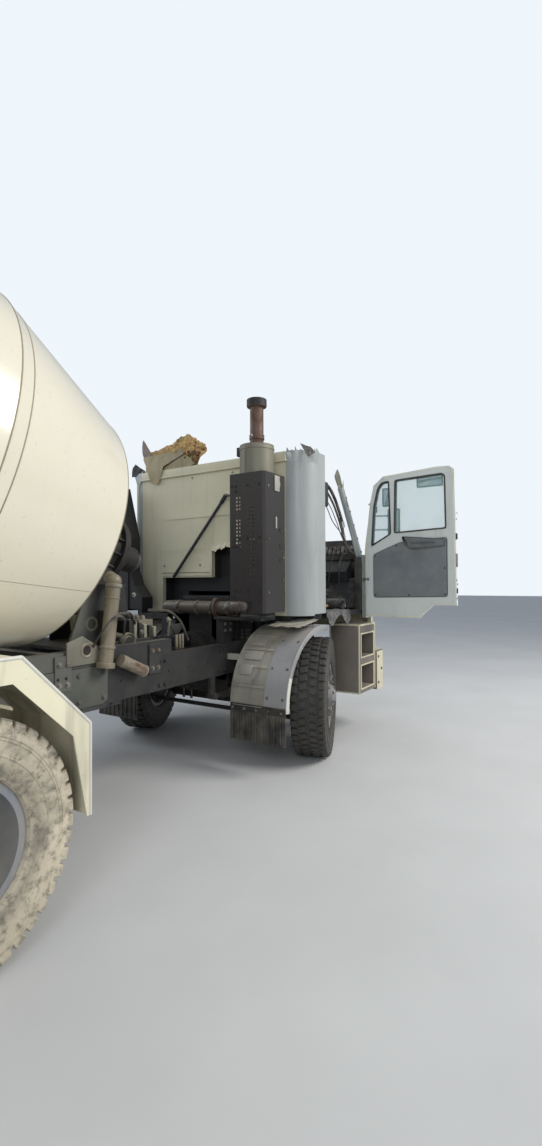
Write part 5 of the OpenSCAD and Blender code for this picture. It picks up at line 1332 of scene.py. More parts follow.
class Exhaust(bpy.types.Operator):
    """Perforated heat shield, muffler bands, clamps and the pipe's flanges"""

    bl_idname = "mixer.exhaust"
    bl_label = "Heat shield and exhaust"

    # Rows: middle of a pair of hole columns across the shield, and its lowest and highest hole
    COLUMNS = [(-0.655, 1.87, 2.14), (-0.655, 2.19, 2.34), (-0.795, 1.64, 2.02), (-0.795, 2.04, 2.24)]

    def sheet(self, shape, sizes):
        """The shield's three faces, with round holes punched in the rear one."""
        x0, x1, y0, y1, low, high = -0.66, -0.33, -0.565, -0.92, 1.328, 2.52
        form = bmesh.new()
        pitch = sizes.hole_pitch
        columns = [y0, y1 + 0.02]
        for middle, _, _ in self.COLUMNS:
            columns += [middle - pitch, middle, middle + pitch]
        columns = sorted({round(y, 4) for y in columns})
        rows = int((high - low) / pitch)
        place = [(x0, y) for y in reversed(columns)]
        grid = [[form.verts.new((x, y, low + (high - low) * k / rows)) for x, y in place] for k in range(rows + 1)]
        holes = []
        for k in range(rows):
            for j in range(len(place) - 1):
                face = form.faces.new((grid[k][j], grid[k][j + 1], grid[k + 1][j + 1], grid[k + 1][j]))
                y, z = (place[j][1] + place[j + 1][1]) / 2, low + (high - low) * (k + 0.5) / rows
                for middle, z0, z1 in self.COLUMNS:
                    if abs(abs(y - middle) - pitch / 2) < 0.001 and z0 < z < z1:
                        holes.append(face)
        edges = list(dict.fromkeys(e for face in holes for e in face.edges))
        bmesh.ops.subdivide_edges(form, edges=edges, cuts=1)
        holes = [face for face in form.faces if len(face.verts) == 8 and any(
            abs(abs(face.calc_center_bounds().y - middle) - pitch / 2) < 0.001 and z0 < face.calc_center_bounds().z < z1
            for middle, z0, z1 in self.COLUMNS)]
        bmesh.ops.inset_individual(form, faces=holes, thickness=pitch * 0.2, use_even_offset=True)
        for face in holes:
            middle = face.calc_center_bounds()
            for v in face.verts:
                v.co = middle + (v.co - middle).normalized() * sizes.hole_radius
        bmesh.ops.delete(form, geom=holes, context="FACES")
        # The notch that the elbow passes, then the chamfered corner and the right face
        notch = [face for face in form.faces
                 if face.calc_center_median().z < 1.43 and face.calc_center_median().y > -0.79]
        bmesh.ops.delete(form, geom=notch, context="FACES")
        side = [v for v in form.verts if abs(v.co.y - (y1 + 0.02)) < 1e-5]
        for dx, dy in ((0.02, -0.02), (x1 - x0 - 0.02, 0.0)):
            rim = [e for e in form.edges if e.is_boundary and all(v in side for v in e.verts)]
            made = bmesh.ops.extrude_edge_only(form, edges=rim)["geom"]
            side = [g for g in made if isinstance(g, bmesh.types.BMVert)]
            bmesh.ops.translate(form, vec=(dx, dy, 0), verts=side)
        bmesh.ops.recalc_face_normals(form, faces=form.faces)
        bmesh.ops.solidify(form, geom=form.faces[:], thickness=0.003)
        bmesh.ops.recalc_face_normals(form, faces=form.faces)
        shape.add(form, "shield steel", smooth=False)

    def execute(self, context):
        shape = Shape()
        self.sheet(shape, context.scene.mixer_sizes)
        mx, my, mr = MUFFLER
        upright, cross = shift(mx, my, 0), shift(mx, 0, 1.355)
        for z in (1.515, 1.965, 2.415):
            shape.band(mr + 0.001, mr + 0.007, z - 0.02, z + 0.02, "old steel", 64, "Z", upright)
            shape.box((-0.657, -0.60), (my - 0.02, my + 0.02), (z - 0.015, z + 0.015), "shield steel", 0.003)
            shape.bolts([(-0.663, my, z), (-0.663, my - 0.12, z), (-0.663, my + 0.12, z)], (-1, 0, 0), "shield steel",
                        0.016, 0.006)
        shape.bolts([(-0.663, -0.582, 2.42), (-0.663, -0.622, 2.37), (-0.663, -0.60, 1.46), (-0.663, -0.86, 1.44),
                     (-0.663, -0.6, 1.9)], (-1, 0, 0), "shield steel", 0.016, 0.006)
        shape.bolts([(-0.6, -0.922, z) for z in (1.5, 1.95, 2.4)] + [(-0.36, -0.922, z) for z in (1.6, 1.8)],
                    (0, -1, 0), "old steel", 0.016, 0.006)
        # Pale bracket and strip on the shield's side
        shape.plate([(-0.505, 2.37), (-0.505, 2.505), (-0.425, 2.505), (-0.428, 2.47), (-0.415, 2.44), (-0.428, 2.40),
                     (-0.43, 2.37)],
                    -0.93, -0.9215, "Y", "pale plastic", 0.002)
        shape.box((-0.488, -0.466), (-0.927, -0.921), (2.05, 2.15), "pale plastic", 0.002)
        for z in (2.04, 1.90, 1.78):
            shape.plate([(-0.40 + 0.02 * cos(k * pi / 5), z + 0.024 * sin(k * pi / 5)) for k in range(10)], -0.9235,
                        -0.9215, "Y", "chassis paint and shade", 0)
        # Muffler: rolled ends, long seam, clamp bracket and the stack's collars
        shape.turned([(0.06, 2.796), (0.09, 2.790), (0.118, 2.782), (0.138, 2.774), (mr - 0.002, 2.764),
                      (mr + 0.004, 2.750),
                      (mr + 0.004, 2.735), (mr + 0.0005, 2.732)], "muffler steel", 72,
                     axis="Z", local=upright)
        shape.turned([(mr + 0.0005, 1.31), (mr + 0.006, 1.305), (mr + 0.008, 1.292), (mr - 0.01, 1.284)],
                     "muffler steel", 72, axis="Z", local=upright)
        shape.rod((mx - mr - 0.0005, my + 0.02, 1.31), (mx - mr - 0.0005, my + 0.02, 2.75), 0.004, "muffler steel",
                  sides=8)
        shape.box((mx - 0.05, mx + 0.01), (my + mr - 0.01, my + mr + 0.035), (2.70, 2.78), "chassis paint and shade", 0.006)
        shape.band(0.060, 0.066, 2.83, 2.874, "rusty steel", 40, "Z", upright)
        shape.box((mx - 0.095, mx - 0.06), (my - 0.008, my + 0.008), (2.84, 2.865), "old steel", 0.003)
        shape.turned([(0.083, 3.122), (0.0875, 3.126), (0.0875, 3.182), (0.083, 3.186), (0.078, 3.18), (0.078, 3.126)],
                     "chassis paint and shade", 48, axis="Z",
                     local=upright, closed=True)
        # Pipe from the engine: its skin and rounded end
        shape.turned([(0.0612, -0.60), (0.0612, 0.30)], "exhaust pipe", 48, local=cross)
        shape.turned([(0.0612, 0.30), (0.056, 0.325), (0.036, 0.345), (0.0, 0.35)], "exhaust pipe", 48, local=cross)
        # Elbow that comes out under the shield's notch, with its blind rounded end, then the clamps and flange
        shape.pipe([(mx, -0.44, 1.362), (mx - 0.03, -0.50, 1.372), (mx - 0.10, -0.575, 1.384),
                    (mx - 0.115, -0.64, 1.387), (mx - 0.115, -0.70, 1.387)],
                   0.056, "elbow steel", 24)
        shape.turned([(0.0565, -0.70), (0.052, -0.722), (0.034, -0.74), (0.0, -0.746)], "elbow steel", 36,
                     local=shift(mx - 0.115, 0, 1.387))
        shape.band(0.055, 0.0605, -0.668, -0.65, "elbow steel", 36, "Y", shift(mx - 0.115, 0, 1.387))
        for y in (-0.56, -0.44, -0.08, 0.14):
            shape.band(0.0605, 0.068, y - 0.016, y + 0.016, "old steel", 40, "Y", cross)
            shape.box((mx - 0.09, mx - 0.064), (y - 0.008, y + 0.008), (1.345, 1.365), "old steel", 0.002)
        shape.bolts([(mx + x, -0.279, 1.355 + z) for x, z in circle(6, 0.077, 30)],
                    (0, 1, 0), "old steel", 0.02)
        shape.turned([(0.0605, -0.30), (0.09, -0.303), (0.09, -0.318), (0.0605, -0.32)], "rusty steel", 40, local=cross)
        for z in (1.16, 1.22):
            shape.bolts([(-0.56, -0.432, z), (-0.48, -0.432, z)], (0, -1, 0), "old steel", 0.022)
        shape.done("exhaust_trim", "chassis", "rusty_steel", "heat_shield")
        return {"FINISHED"}


class Inside(bpy.types.Operator):
    """Dashboard, wheel, pedals, levers and loose things inside the open cab"""

    bl_idname = "mixer.inside"
    bl_label = "Dashboard, wheel and controls"

    WHEEL = (0.845, 0.54, 1.812)

    def dashboard(self, shape):
        # Padded top roll, glove box, switch rows and the seam along the fascia
        shape.rod((1.20, -0.89, 1.835), (1.20, 0.89, 1.835), 0.028, "plastic", sides=20, edge=0.008)
        for y0, y1 in ((-0.84, -0.42), (-0.38, -0.06)):
            shape.plate([(1.028, 1.69), (1.174, 1.826), (1.166, 1.834), (1.020, 1.698)], y0, y1, "Y", "plastic", 0.004)
            shape.frame(rect(y0 + 0.02, y1 - 0.02, 1.60, 1.69), 0.006, 1.012, 1.022, "X", "seal")
            shape.box((1.004, 1.02), ((y0 + y1) / 2 - 0.04, (y0 + y1) / 2 + 0.04), (1.66, 1.675), "old steel", 0.004)
        # Bulkhead and kick panels under the fascia, in dark trim
        shape.plate([(1.13, 1.296), (1.10, 1.62), (1.125, 1.63), (1.155, 1.296)], -1.03, 1.03, "Y", "floor carpet",
                    0.004)
        for side in (1, -1):
            shape.box((1.066, 1.33), span(side, 1.03, 1.052), (1.30, 1.86), "floor carpet", 0.006)
        # Dark demister hood that stands along the fascia's front
        shape.plate([(1.14, 1.83), (1.20, 2.045), (1.215, 2.06), (1.30, 2.05), (1.335, 1.84)], -0.94, -0.45, "Y",
                    "seal", 0.02)
        for k in range(9):
            y = -0.92 + 0.052 * k
            shape.plate([(1.150, 1.90), (1.176, 1.99), (1.170, 1.992), (1.144, 1.902)], y, y + 0.036, "Y", "old steel",
                        0.001)
        # Binnacle with two dials and a row of lamps
        shape.plate([(1.03, 1.68), (0.99, 1.80), (1.02, 1.965), (1.10, 1.985), (1.28, 1.86)], 0.30, 0.80, "Y",
                    "plastic", 0.02)
        tilt = turn(-14, "Y")
        for y, r in ((0.44, 0.062), (0.66, 0.062), (0.55, 0.032), (0.34, 0.026), (0.76, 0.026)):
            place = shift(1.0 if r > 0.05 else 0.998, y, 1.88) @ tilt
            shape.turned([(0.0, 0.004), (r - 0.006, 0.004), (r - 0.003, -0.006), (r + 0.004, -0.012), (r + 0.007, 0.0),
                          (r + 0.007, 0.014)], "old steel", 40,
                         axis="X", local=place)
            shape.turned([(0.0, -0.001), (r - 0.006, -0.001)], "plastic", 40, axis="X", local=place)
            for k in range(9):
                shape.box((-0.004, -0.001), (-0.0012, 0.0012), (r * 0.68, r * 0.84), "pale plastic", 0, 1,
                          place @ turn(-120 + 30 * k, "X"))
            shape.box((-0.005, -0.002), (-0.0016, 0.0016), (-0.008, r * 0.7), "amber lens", 0, 1,
                      place @ turn(70 if y < 0.5 else 105, "X"))
        for k in range(8):
            shape.box((0.985, 0.998), (0.36 + 0.048 * k, 0.392 + 0.048 * k), (1.765, 1.79),
                      "seal" if k % 3 else "amber lens", 0.003)
        # Vents and switch rows in the middle
        for y0 in (-0.02, 0.14):
            shape.frame(rect(y0, y0 + 0.13, 1.74, 1.81), 0.008, 1.10, 1.12, "X", "old steel")
            for k in range(4):
                shape.box((1.106, 1.13), (y0 + 0.008, y0 + 0.122), (1.752 + 0.014 * k, 1.755 + 0.014 * k), "seal",
                          0.001)
        for k in range(7):
            shape.box((1.035, 1.052), (-0.05 + 0.046 * k, -0.014 + 0.046 * k), (1.665, 1.70), "old steel", 0.004)

    def controls(self, shape):
        at = shift(*self.WHEEL) @ turn(-20, "Y")
        # Wheel: finger ridges, boss, stalks and the column's boot
        for k in range(36):
            local = at @ turn(10 * k, "Z") @ shift(0.215, 0, 0)
            shape.band(0.0153, 0.0172, -0.012, 0.012, "plastic", 14, "Y", local, 0.006)
        shape.turned([(0.0, 0.03), (0.04, 0.028), (0.052, 0.02), (0.055, -0.02)], "plastic", 36, axis="Z", local=at)
        for y0, y1 in ((0.68, 0.75), (0.40, 0.34)):
            shape.pipe([(0.875, 0.54, 1.78), (0.87, y0, 1.80), (0.86, y1, 1.81)], 0.008, "plastic", 10)
        shape.turned([(0.034, 1.42), (0.06, 1.36), (0.075, 1.345), (0.085, 1.342)], "rubber", 32, axis="Z",
                     local=shift(0.985, 0.54, 0))
        # Pedals on their arms
        for y, wide, low in ((0.82, 0.07, 1.44), (0.69, 0.08, 1.44), (0.44, 0.05, 1.40)):
            shape.box((0.93, 0.95), (y - wide / 2, y + wide / 2), (low, low + 0.10), "rubber", 0.006)
            for k in range(4):
                z = low + 0.012 + 0.022 * k
                shape.box((0.925, 0.932), (y - wide / 2 + 0.006, y + wide / 2 - 0.006), (z, z + 0.008), "rubber", 0.002)
            shape.pipe([(0.95, y, low + 0.06), (1.02, y, low + 0.14), (1.05, y, 1.66)], 0.009, "old steel", 8)
        # Gear lever in its gaiter, brake lever
        for k in range(6):
            shape.turned([(0.085 - 0.011 * k, 1.52 + 0.022 * k), (0.092 - 0.011 * k, 1.531 + 0.022 * k),
                          (0.078 - 0.011 * k, 1.542 + 0.022 * k)], "rubber", 28,
                         axis="Z", local=shift(0.62, 0.18, 0))
        shape.pipe([(0.62, 0.18, 1.60), (0.60, 0.20, 1.80), (0.56, 0.24, 1.96)], 0.010, "old steel", 10)
        shape.turned([(0.0, 0.055), (0.02, 0.048), (0.028, 0.025), (0.018, 0.0), (0.0, -0.004)], "seal", 24, axis="Z",
                     local=shift(0.56, 0.24, 1.955))
        shape.box((0.20, 0.36), (0.22, 0.30), (1.52, 1.57), "plastic", 0.014)
        shape.rod((0.30, 0.26, 1.56), (0.34, 0.26, 1.66), 0.009, "old steel", sides=12)
        shape.turned([(0.0, 0.036), (0.016, 0.03), (0.018, 0.0)], "seal", 20, axis="Z", local=shift(0.34, 0.26, 1.655))
        # Console box, the seats' bellows and slides
        shape.box((0.02, 0.46), (-0.22, 0.12), (1.52, 1.60), "plastic", 0.02, 3)
        shape.frame(rect(0.05, 0.43, -0.19, 0.09), 0.01, 1.598, 1.604, "Z", "seal")
        for side in (1, -1):
            for k in range(6):
                z = 1.335 + 0.024 * k
                shape.box((0.17, 0.57), span(side, 0.49, 0.85), (z, z + 0.015), "rubber", 0.007)
            for y in (0.47, 0.86):
                shape.box((0.10, 0.60), span(side, y, y + 0.03), (1.455, 1.483), "bright steel", 0.004)
            shape.rod((0.60, side * 0.52, 1.47), (0.64, side * 0.60, 1.47), 0.009, "bright steel", sides=12)
            shape.rod((0.02, side * 0.935, 1.50), (0.13, side * 0.935, 1.53), 0.028, "seal", sides=24, edge=0.006)

    def litter(self, shape):
        # Carpet rolled up on the floor, fallen foam and loose wires
        def roll(u, v):
            angle = 2 * pi * u * 1.6
            r = 0.045 + 0.012 * u
            push = wander((u * 3, v * 4, 5), 3.0, 0.02, 5)
            return (0.76 + r * cos(angle) + push.x, -0.98 + 0.5 * v, 1.36 + r * sin(angle) + push.z * 0.5)
        shape.skin(roll, 40, 24, 0.006, "floor carpet")
        for k, (x, y, z) in enumerate(((0.70, -0.75, 1.33), (0.86, -0.88, 1.34), (0.55, 0.70, 1.33),
                                       (0.86, 0.2, 1.55))):
            form = bmesh.new()
            bmesh.ops.create_icosphere(form, subdivisions=3, radius=0.05)
            for v in form.verts:
                v.co = Vector((v.co.x * 1.3, v.co.y * 1.6, v.co.z * 0.5)) + wander(v.co, 22.0, 0.02, k)
            shape.add(form, "foam", shift(x, y, z))
        for points, r in (([(1.18, -0.9, 1.86), (1.08, -0.86, 1.90), (0.99, -0.84, 1.80), (1.0, -0.82, 1.62),
                            (1.04, -0.80, 1.45)], 0.008),
                          ([(1.19, -0.80, 1.87), (1.05, -0.78, 1.96), (0.96, -0.76, 1.84), (0.98, -0.70, 1.58)], 0.005),
                          ([(1.22, 0.1, 2.0), (1.12, 0.14, 2.04), (1.05, 0.12, 1.93), (1.03, 0.08, 1.74)], 0.006)):
            shape.pipe(points, r, "hose", 8)

    def execute(self, context):
        shape = Shape()
        self.dashboard(shape)
        self.controls(shape)
        self.litter(shape)
        shape.done("inside_trim", "cab", "dark_plastic")
        return {"FINISHED"}


class Seats(bpy.types.Operator):
    """Stuffed seat cushions and backs on their pans, with belts"""

    bl_idname = "mixer.seats"
    bl_label = "Seats and belts"

    def stuff(self, name, size, bulge, place, swell):
        """A pad: a rounded block drawn in between its corners, then blown up as cloth and moved to its place."""
        form = bmesh.new()
        bmesh.ops.create_cube(form, size=1.0)
        bmesh.ops.subdivide_edges(form, edges=form.edges[:], cuts=9, use_grid_fill=True)
        for v in form.verts:
            u, w, t = v.co.x * 2, v.co.y * 2, v.co.z * 2
            round_off = 1.0 - 0.16 * (abs(u * w) ** 6) - 0.06 * (abs(t) ** 4) * (1 - 0.5 * abs(u * w))
            v.co.x = u / 2 * size[0] * round_off * (1 - 0.03 * (1 - w * w) * abs(u) ** 3)
            v.co.y = w / 2 * size[1] * round_off * (1 - 0.04 * (1 - u * u) * abs(w) ** 3)
            v.co.z = t / 2 * size[2] * (1 + bulge * (1 - u * u) * (1 - w * w) * (1 if t > 0 else 0))
        mesh = bpy.data.meshes.new(name)
        form.to_mesh(mesh)
        form.free()
        piece = bpy.data.objects.new(name, mesh)
        scene = bpy.context.scene
        scene.collection.objects.link(piece)
        remesh = piece.modifiers.new("even_mesh", "REMESH")
        remesh.mode, remesh.voxel_size = "VOXEL", 0.011
        self.apply(piece)
        before = [v.co.copy() for v in piece.data.vertices]
        cloth = piece.modifiers.new("stuffing", "CLOTH")
        cloth.settings.use_pressure = True
        cloth.settings.uniform_pressure_force = 4.0
        cloth.settings.effector_weights.gravity = 0.0
        cloth.settings.quality = 5
        cloth.point_cache.frame_start, cloth.point_cache.frame_end = 1, 20
        for frame_number in range(1, 21):
            scene.frame_set(frame_number)
        self.apply(piece)
        scene.frame_set(1)
        for v, old in zip(piece.data.vertices, before):
            move = v.co - old
            if move.length > swell:
                v.co = old + move.normalized() * swell
        # Sewn channels across the middle, and piping round the rim's seam
        for v in piece.data.vertices:
            u, w = v.co.x / size[0] * 2, v.co.y / size[1] * 2
            if v.co.z > 0:
                inner = max(0.0, 1 - (abs(w) / 0.74) ** 8) * max(0.0, 1 - (abs(u) / 0.86) ** 10)
                wave = max(0.0, 1 - abs(((u * 2.6 + 0.5) % 1.0) - 0.5) * 14)
                side_seam = max(0.0, 1 - abs(abs(w) - 0.72) * 26) * (1 if abs(u) < 0.86 else 0)
                v.co.z -= 0.007 * wave * inner + 0.008 * side_seam
        smooth = piece.modifiers.new("round", "SUBSURF")
        smooth.levels = smooth.render_levels = 1
        self.apply(piece)
        for polygon in piece.data.polygons:
            polygon.use_smooth = True
        piece.data.transform(Matrix.Translation(DATUM) @ place)
        paint(piece, "cloth")
        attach(piece, "cab")

    def apply(self, piece):
        """Bakes the piece's modifiers into its mesh."""
        depsgraph = bpy.context.evaluated_depsgraph_get()
        mesh = bpy.data.meshes.new_from_object(piece.evaluated_get(depsgraph))
        old, piece.data = piece.data, mesh
        piece.modifiers.clear()
        bpy.data.meshes.remove(old)

    def execute(self, context):
        swell = context.scene.mixer_sizes.seat_swell
        pans = Shape()
        for label, side in SIDES:
            y = side * 0.67
            self.stuff("seat_cushion_" + label, (0.46, 0.455, 0.085), 0.35, shift(0.385, y, 1.555), swell)
            lean = turn(-7, "Y") @ turn(90, "Y")
            self.stuff("seat_back_" + label, (0.66, 0.435, 0.085), 0.3, shift(0.045, y, 1.90) @ lean, swell)
            self.stuff("head_rest_" + label, (0.13, 0.27, 0.07), 0.3, shift(-0.005, y, 2.215) @ lean, swell * 0.5)
            # Pan, back shell, hinge cover and belt
            pans.box((0.13, 0.60), span(side, 0.43, 0.91), (1.482, 1.515), "plastic", 0.014, 3)
            pans.plate([(0.0, 1.49), (0.05, 1.49), (-0.005, 2.15), (-0.05, 2.16)], *span(side, 0.45, 0.89), "Y",
                       "plastic", 0.012)
            for edge in (0.43, 0.895):
                pans.turned([(0.0, 0.0), (0.04, 0.0), (0.046, 0.008), (0.04, 0.018), (0.0, 0.018)], "plastic", 28,
                            local=shift(0.09, side * edge, 1.55))
            for z in (2.14, 2.18):
                for y in (0.61, 0.73):
                    pans.rod((-0.02, side * y, z - 0.03), (-0.025, side * y, z), 0.006, "bright steel", sides=10)

            def webbing(u, v, side=side):
                across = 0.024 * (2 * v - 1)
                x = 0.02 + 0.06 * sin(pi * u) + 0.03 * u
                return (x + across * 0.5, side * (1.0 - 0.08 * u) + 0.004 * sin(6 * u), 2.36 - 0.78 * u + across * 0.6)
            pans.skin(webbing, 30, 2, 0.0018, "belt")
            pans.box((0.07, 0.10), span(side, 0.915, 0.935), (1.56, 1.63), "bright steel", 0.005)
            pans.pipe([(0.15, side * 0.42, 1.50), (0.16, side * 0.40, 1.58), (0.18, side * 0.39, 1.65)], 0.008, "seal",
                      8)
            pans.box((0.16, 0.20), span(side, 0.378, 0.402), (1.64, 1.70), "seal", 0.006)
        pans.done("seat_frames", "cab", "dark_plastic", "seats")
        return {"FINISHED"}


class Chassis(bpy.types.Operator):
    """Bolts, springs' clips, brakes, air tanks, hoses and engine details of the chassis"""

    bl_idname = "mixer.chassis"
    bl_label = "Rails, springs, brakes and engine"

    def rails(self, shape):
        for side in (1, -1):
            y = side * RAIL_OUT
            # Bolt pairs at the crossmembers, and the line of small bolts between them
            for x in (-5.70, -5.45, -5.0, -4.35, -3.975, -3.6, -2.9, -2.45, -2.25, -1.35, -0.6, 0.15, 0.85):
                shape.bolts([(x + dx, y, z) for dx in (-0.03, 0.03) for z in (0.81, 0.99)], (0, side, 0),
                            "chassis paint and shade")
            shape.bolts([(x / 100, y, 0.905) for x in range(-560, 100, 24)], (0, side, 0), "chassis paint and shade", 0.016,
                        0.006, False)
            # Pale plate along the rail under the drum's front end
            shape.plate([(-3.60, 0.775), (-3.60, 1.035), (-1.885, 1.035), (-1.885, 0.80), (-1.93, 0.775)],
                        *span(side, RAIL_OUT, RAIL_OUT + 0.007),
                        "Y", "rail plate", 0.002)
            shape.bolts([(x, y + side * 0.007, z) for x in (-1.92, -2.12, -2.52, -2.75) for z in (0.82, 0.99)],
                        (0, side, 0), "rail plate")
            # Cab's rear rubber mounts
            for z in (1.05, 1.085, 1.12):
                shape.turned([(0.03, z), (0.052, z + 0.006), (0.052, z + 0.026), (0.03, z + 0.032)], "hose", 28,
                             axis="Z",
                             local=shift(-0.19, side * (RAIL_OUT + RAIL_IN) / 2, 0))
        # Brake pipes and the harness along both rails
        for side in (1, -1):
            y = side * (RAIL_IN - 0.02)
            for k, z in enumerate((0.96, 0.985, 1.005)):
                shape.pipe([(x, y, z + 0.006 * sin(3.1 * x + k)) for x in (-5.5, -4.6, -3.8, -3.0, -2.2, -1.4, -0.7)],
                           0.009 + 0.004 * k, "hose", 8)
            for x in (-5.2, -4.4, -3.6, -2.8, -2.0, -1.2):
                shape.box((x - 0.012, x + 0.012), span(side, RAIL_IN - 0.048, RAIL_IN), (0.94, 1.03), "chassis paint and shade",
                          0.004)

    def springs(self, shape):
        for side in (1, -1):
            # Front: U-bolts, clips, shock absorber
            for x in (-0.07, 0.07):
                for y in (0.378, 0.482):
                    shape.rod((x, side * y, 0.40), (x, side * y, 0.64), 0.011, "old steel", sides=12)
                    shape.bolts([(x, side * y, 0.40)], (0, 0, -1), "old steel", 0.03, 0.02)
                shape.rod((x, side * 0.378, 0.64), (x, side * 0.482, 0.64), 0.011, "old steel", sides=12)
            for x in (-0.42, 0.42):
                shape.frame(rect(side * 0.38, side * 0.48, 0.548, 0.624), 0.009,
                            x - 0.02, x + 0.02, "X", "old steel")
            shape.rod((0.1, side * 0.55, 0.50), (0.2, side * 0.50, 0.78), 0.032, "chassis paint and shade", sides=24, edge=0.004)
            shape.rod((0.2, side * 0.50, 0.74), (0.23, side * 0.485, 0.93), 0.042, "chassis paint and shade", sides=24,
                      edge=0.004)
            shape.box((0.17, 0.28), span(side, 0.43, 0.52), (0.90, 0.95), "chassis paint and shade", 0.006)
            # Rear: U-bolts over both leaves' ends, rubber stops
            tandem = sum(REAR_AXLES) / 2
            for dx in (-0.09, 0.09):
                for y in (0.435, 0.54):
                    shape.rod((tandem + dx, side * y, 0.60), (tandem + dx, side * y, 0.77), 0.013, "old steel",
                              sides=12)
                    shape.bolts([(tandem + dx, side * y, 0.76)], (0, 0, 1), "old steel", 0.034, 0.022)
            for dx in (-0.36, 0.36):
                shape.frame(rect(side * 0.436, side * 0.538, 0.634, 0.748), 0.008,
                            tandem + dx - 0.025, tandem + dx + 0.025, "X", "old steel")
            for x in REAR_AXLES:
                shape.turned([(0.0, 0.675), (0.045, 0.677), (0.06, 0.70), (0.05, 0.735), (0.04, 0.76)], "hose", 24,
                             axis="Z",
                             local=shift(x, side * 0.487, 0.0))

    def brakes(self, shape):
        can = [(0.0, 0.0), (0.05, 0.002), (0.078, 0.02), (0.082, 0.07), (0.092, 0.074), (0.092, 0.088), (0.082, 0.092),
               (0.078, 0.15), (0.05, 0.17), (0.0, 0.172)]
        for side in (1, -1):
            for x, lean in ((REAR_AXLES[0], 0.16), (REAR_AXLES[1], -0.26)):
                local = shift(x + lean, side * 0.36, AXLE_Z + 0.02)
                shape.turned(can, "chassis paint and shade", 36, axis="X", local=local)
                shape.pipe([(x + lean + 0.02, side * 0.36, AXLE_Z + 0.10), (x + lean - 0.02, side * 0.33, 0.78),
                            (x + lean - 0.1, side * 0.32, 0.9)],
                           0.009, "hose", 8)
                local = shift(x, 0, AXLE_Z) @ (Matrix() if side > 0 else FLIP_Y)
                shape.turned([(0.172, 0.566), (0.176, 0.56), (0.176, 0.552), (0.10, 0.545)], "old steel", 48,
                             local=local)
            local = shift(-0.04, side * 0.535, AXLE_Z + 0.215)
            shape.turned(can, "chassis paint and shade", 36, axis="X", local=local @ turn(180, "Z"))
            shape.pipe([(-0.19, side * 0.535, 0.80), (-0.24, side * 0.52, 0.88), (-0.2, side * 0.44, 0.95)], 0.01,
                       "hose", 8)
        # Rear axles: ring of bolts on each differential, its drain plug and a band
        for x in REAR_AXLES:
            shape.bolts([(x + 0.13, y, AXLE_Z + z) for y, z in circle(12, 0.195)], (1, 0, 0), "old steel", 0.022)
            shape.rod((x, 0, AXLE_Z - 0.21), (x, 0, AXLE_Z - 0.196), 0.02, "old steel", sides=6)
            shape.band(0.21, 0.213, -0.1, -0.08, "old steel", 48, "X", shift(x, 0, AXLE_Z), 0.005)
        # Air tanks across the frame
        ends = [(0.0, -0.36), (0.08, -0.356), (0.115, -0.33), (0.12, -0.30), (0.12, 0.30), (0.115, 0.33), (0.08, 0.356),
                (0.0, 0.36)]
        for x, z in ((-2.72, 0.66), (-2.98, 0.66)):
            shape.turned([(r, h * 0.9) for r, h in ends], "chassis paint and shade", 40, local=shift(x, 0, z))
            for y in (-0.2, 0.2):
                shape.band(0.1205, 0.125, y - 0.02, y + 0.02, "old steel", 40, "Y", shift(x, 0, z))
                shape.box((x - 0.03, x + 0.03), (y - 0.02, y + 0.02), (z + 0.12, RAIL_BOTTOM + 0.04), "chassis paint and shade",
                          0.004)
        # Yokes' crosses on the propeller shafts
        for x, z in ((-1.27, 0.82), (-2.97, 0.558), (-3.46, 0.558), (-4.32, 0.558)):
            for k in range(4):
                shape.box((x - 0.035, x + 0.035), (-0.018, 0.018), (0.046, 0.07), "old steel", 0.004, 1,
                          shift(0, 0, z) @ turn(90 * k, "X"))
            shape.bolts([(x + 0.03, y, z + up) for y, up in circle(4, 0.056, 45)], (1, 0, 0), "old steel", 0.016)

    def hydraulics(self, shape):
        y = -RAIL_OUT - 0.055
        foot, top = Vector((-1.947, y, 1.03)), Vector((-1.872, y, 1.60))
        run = (top - foot).normalized()
        # Upright pipe: foot's flange, clamp and joint rings
        for t, wide, thick in ((0.01, 0.062, 0.018), (0.13, 0.054, 0.010), (0.46, 0.0515, 0.006),
                               (0.545, 0.056, 0.012)):
            at = foot + run * t
            shape.rod(at - run * thick, at + run * thick, wide, "pipe steel" if t < 0.5 else "splashed steel", sides=32,
                      edge=0.003)
        # Pump and its pale ringed ports behind the pipe
        form = bmesh.new()
        bmesh.ops.create_cube(form, size=1.0)
        bmesh.ops.subdivide_edges(form, edges=form.edges[:], cuts=6, use_grid_fill=True)
        for v in form.verts:
            v.co = Vector((v.co.x * 0.22, v.co.y * 0.12, v.co.z * 0.17)) * (1.0 - 0.10 * v.co.length)
            v.co += wander(v.co, 14.0, 0.02, 3) + wander(v.co, 40.0, 0.006, 4)
        shape.add(form, "splashed steel", shift(-1.915, -0.27, 1.285))
        for x, z, r in ((-1.956, 1.311, 0.046), (-1.851, 1.324, 0.040)):
            shape.turned([(r - 0.014, 0.0), (r - 0.012, 0.05), (r + 0.004, 0.052), (r + 0.008, 0.03), (r + 0.004, 0.0)],
                         "splashed steel", 36,
                         local=shift(x, -0.31, z) @ FLIP_Y)
            shape.rod((x, -0.30, z), (x, -0.335, z), r - 0.013, "hose", sides=24)
        # Splashed plate that carries the pump, with its hole
        shape.plate([(-2.22, 1.06), (-2.22, 1.21), (-2.10, 1.245), (-1.98, 1.17), (-1.93, 1.06)], -0.452, -0.437, "Y",
                    "splashed steel", 0.003)
        shape.turned([(0.03, -0.454), (0.042, -0.458), (0.05, -0.454)], "pipe steel", 28, local=shift(-2.07, 0, 1.15))
        shape.rod((-2.07, -0.45, 1.15), (-2.07, -0.456, 1.15), 0.03, "grease", sides=24)
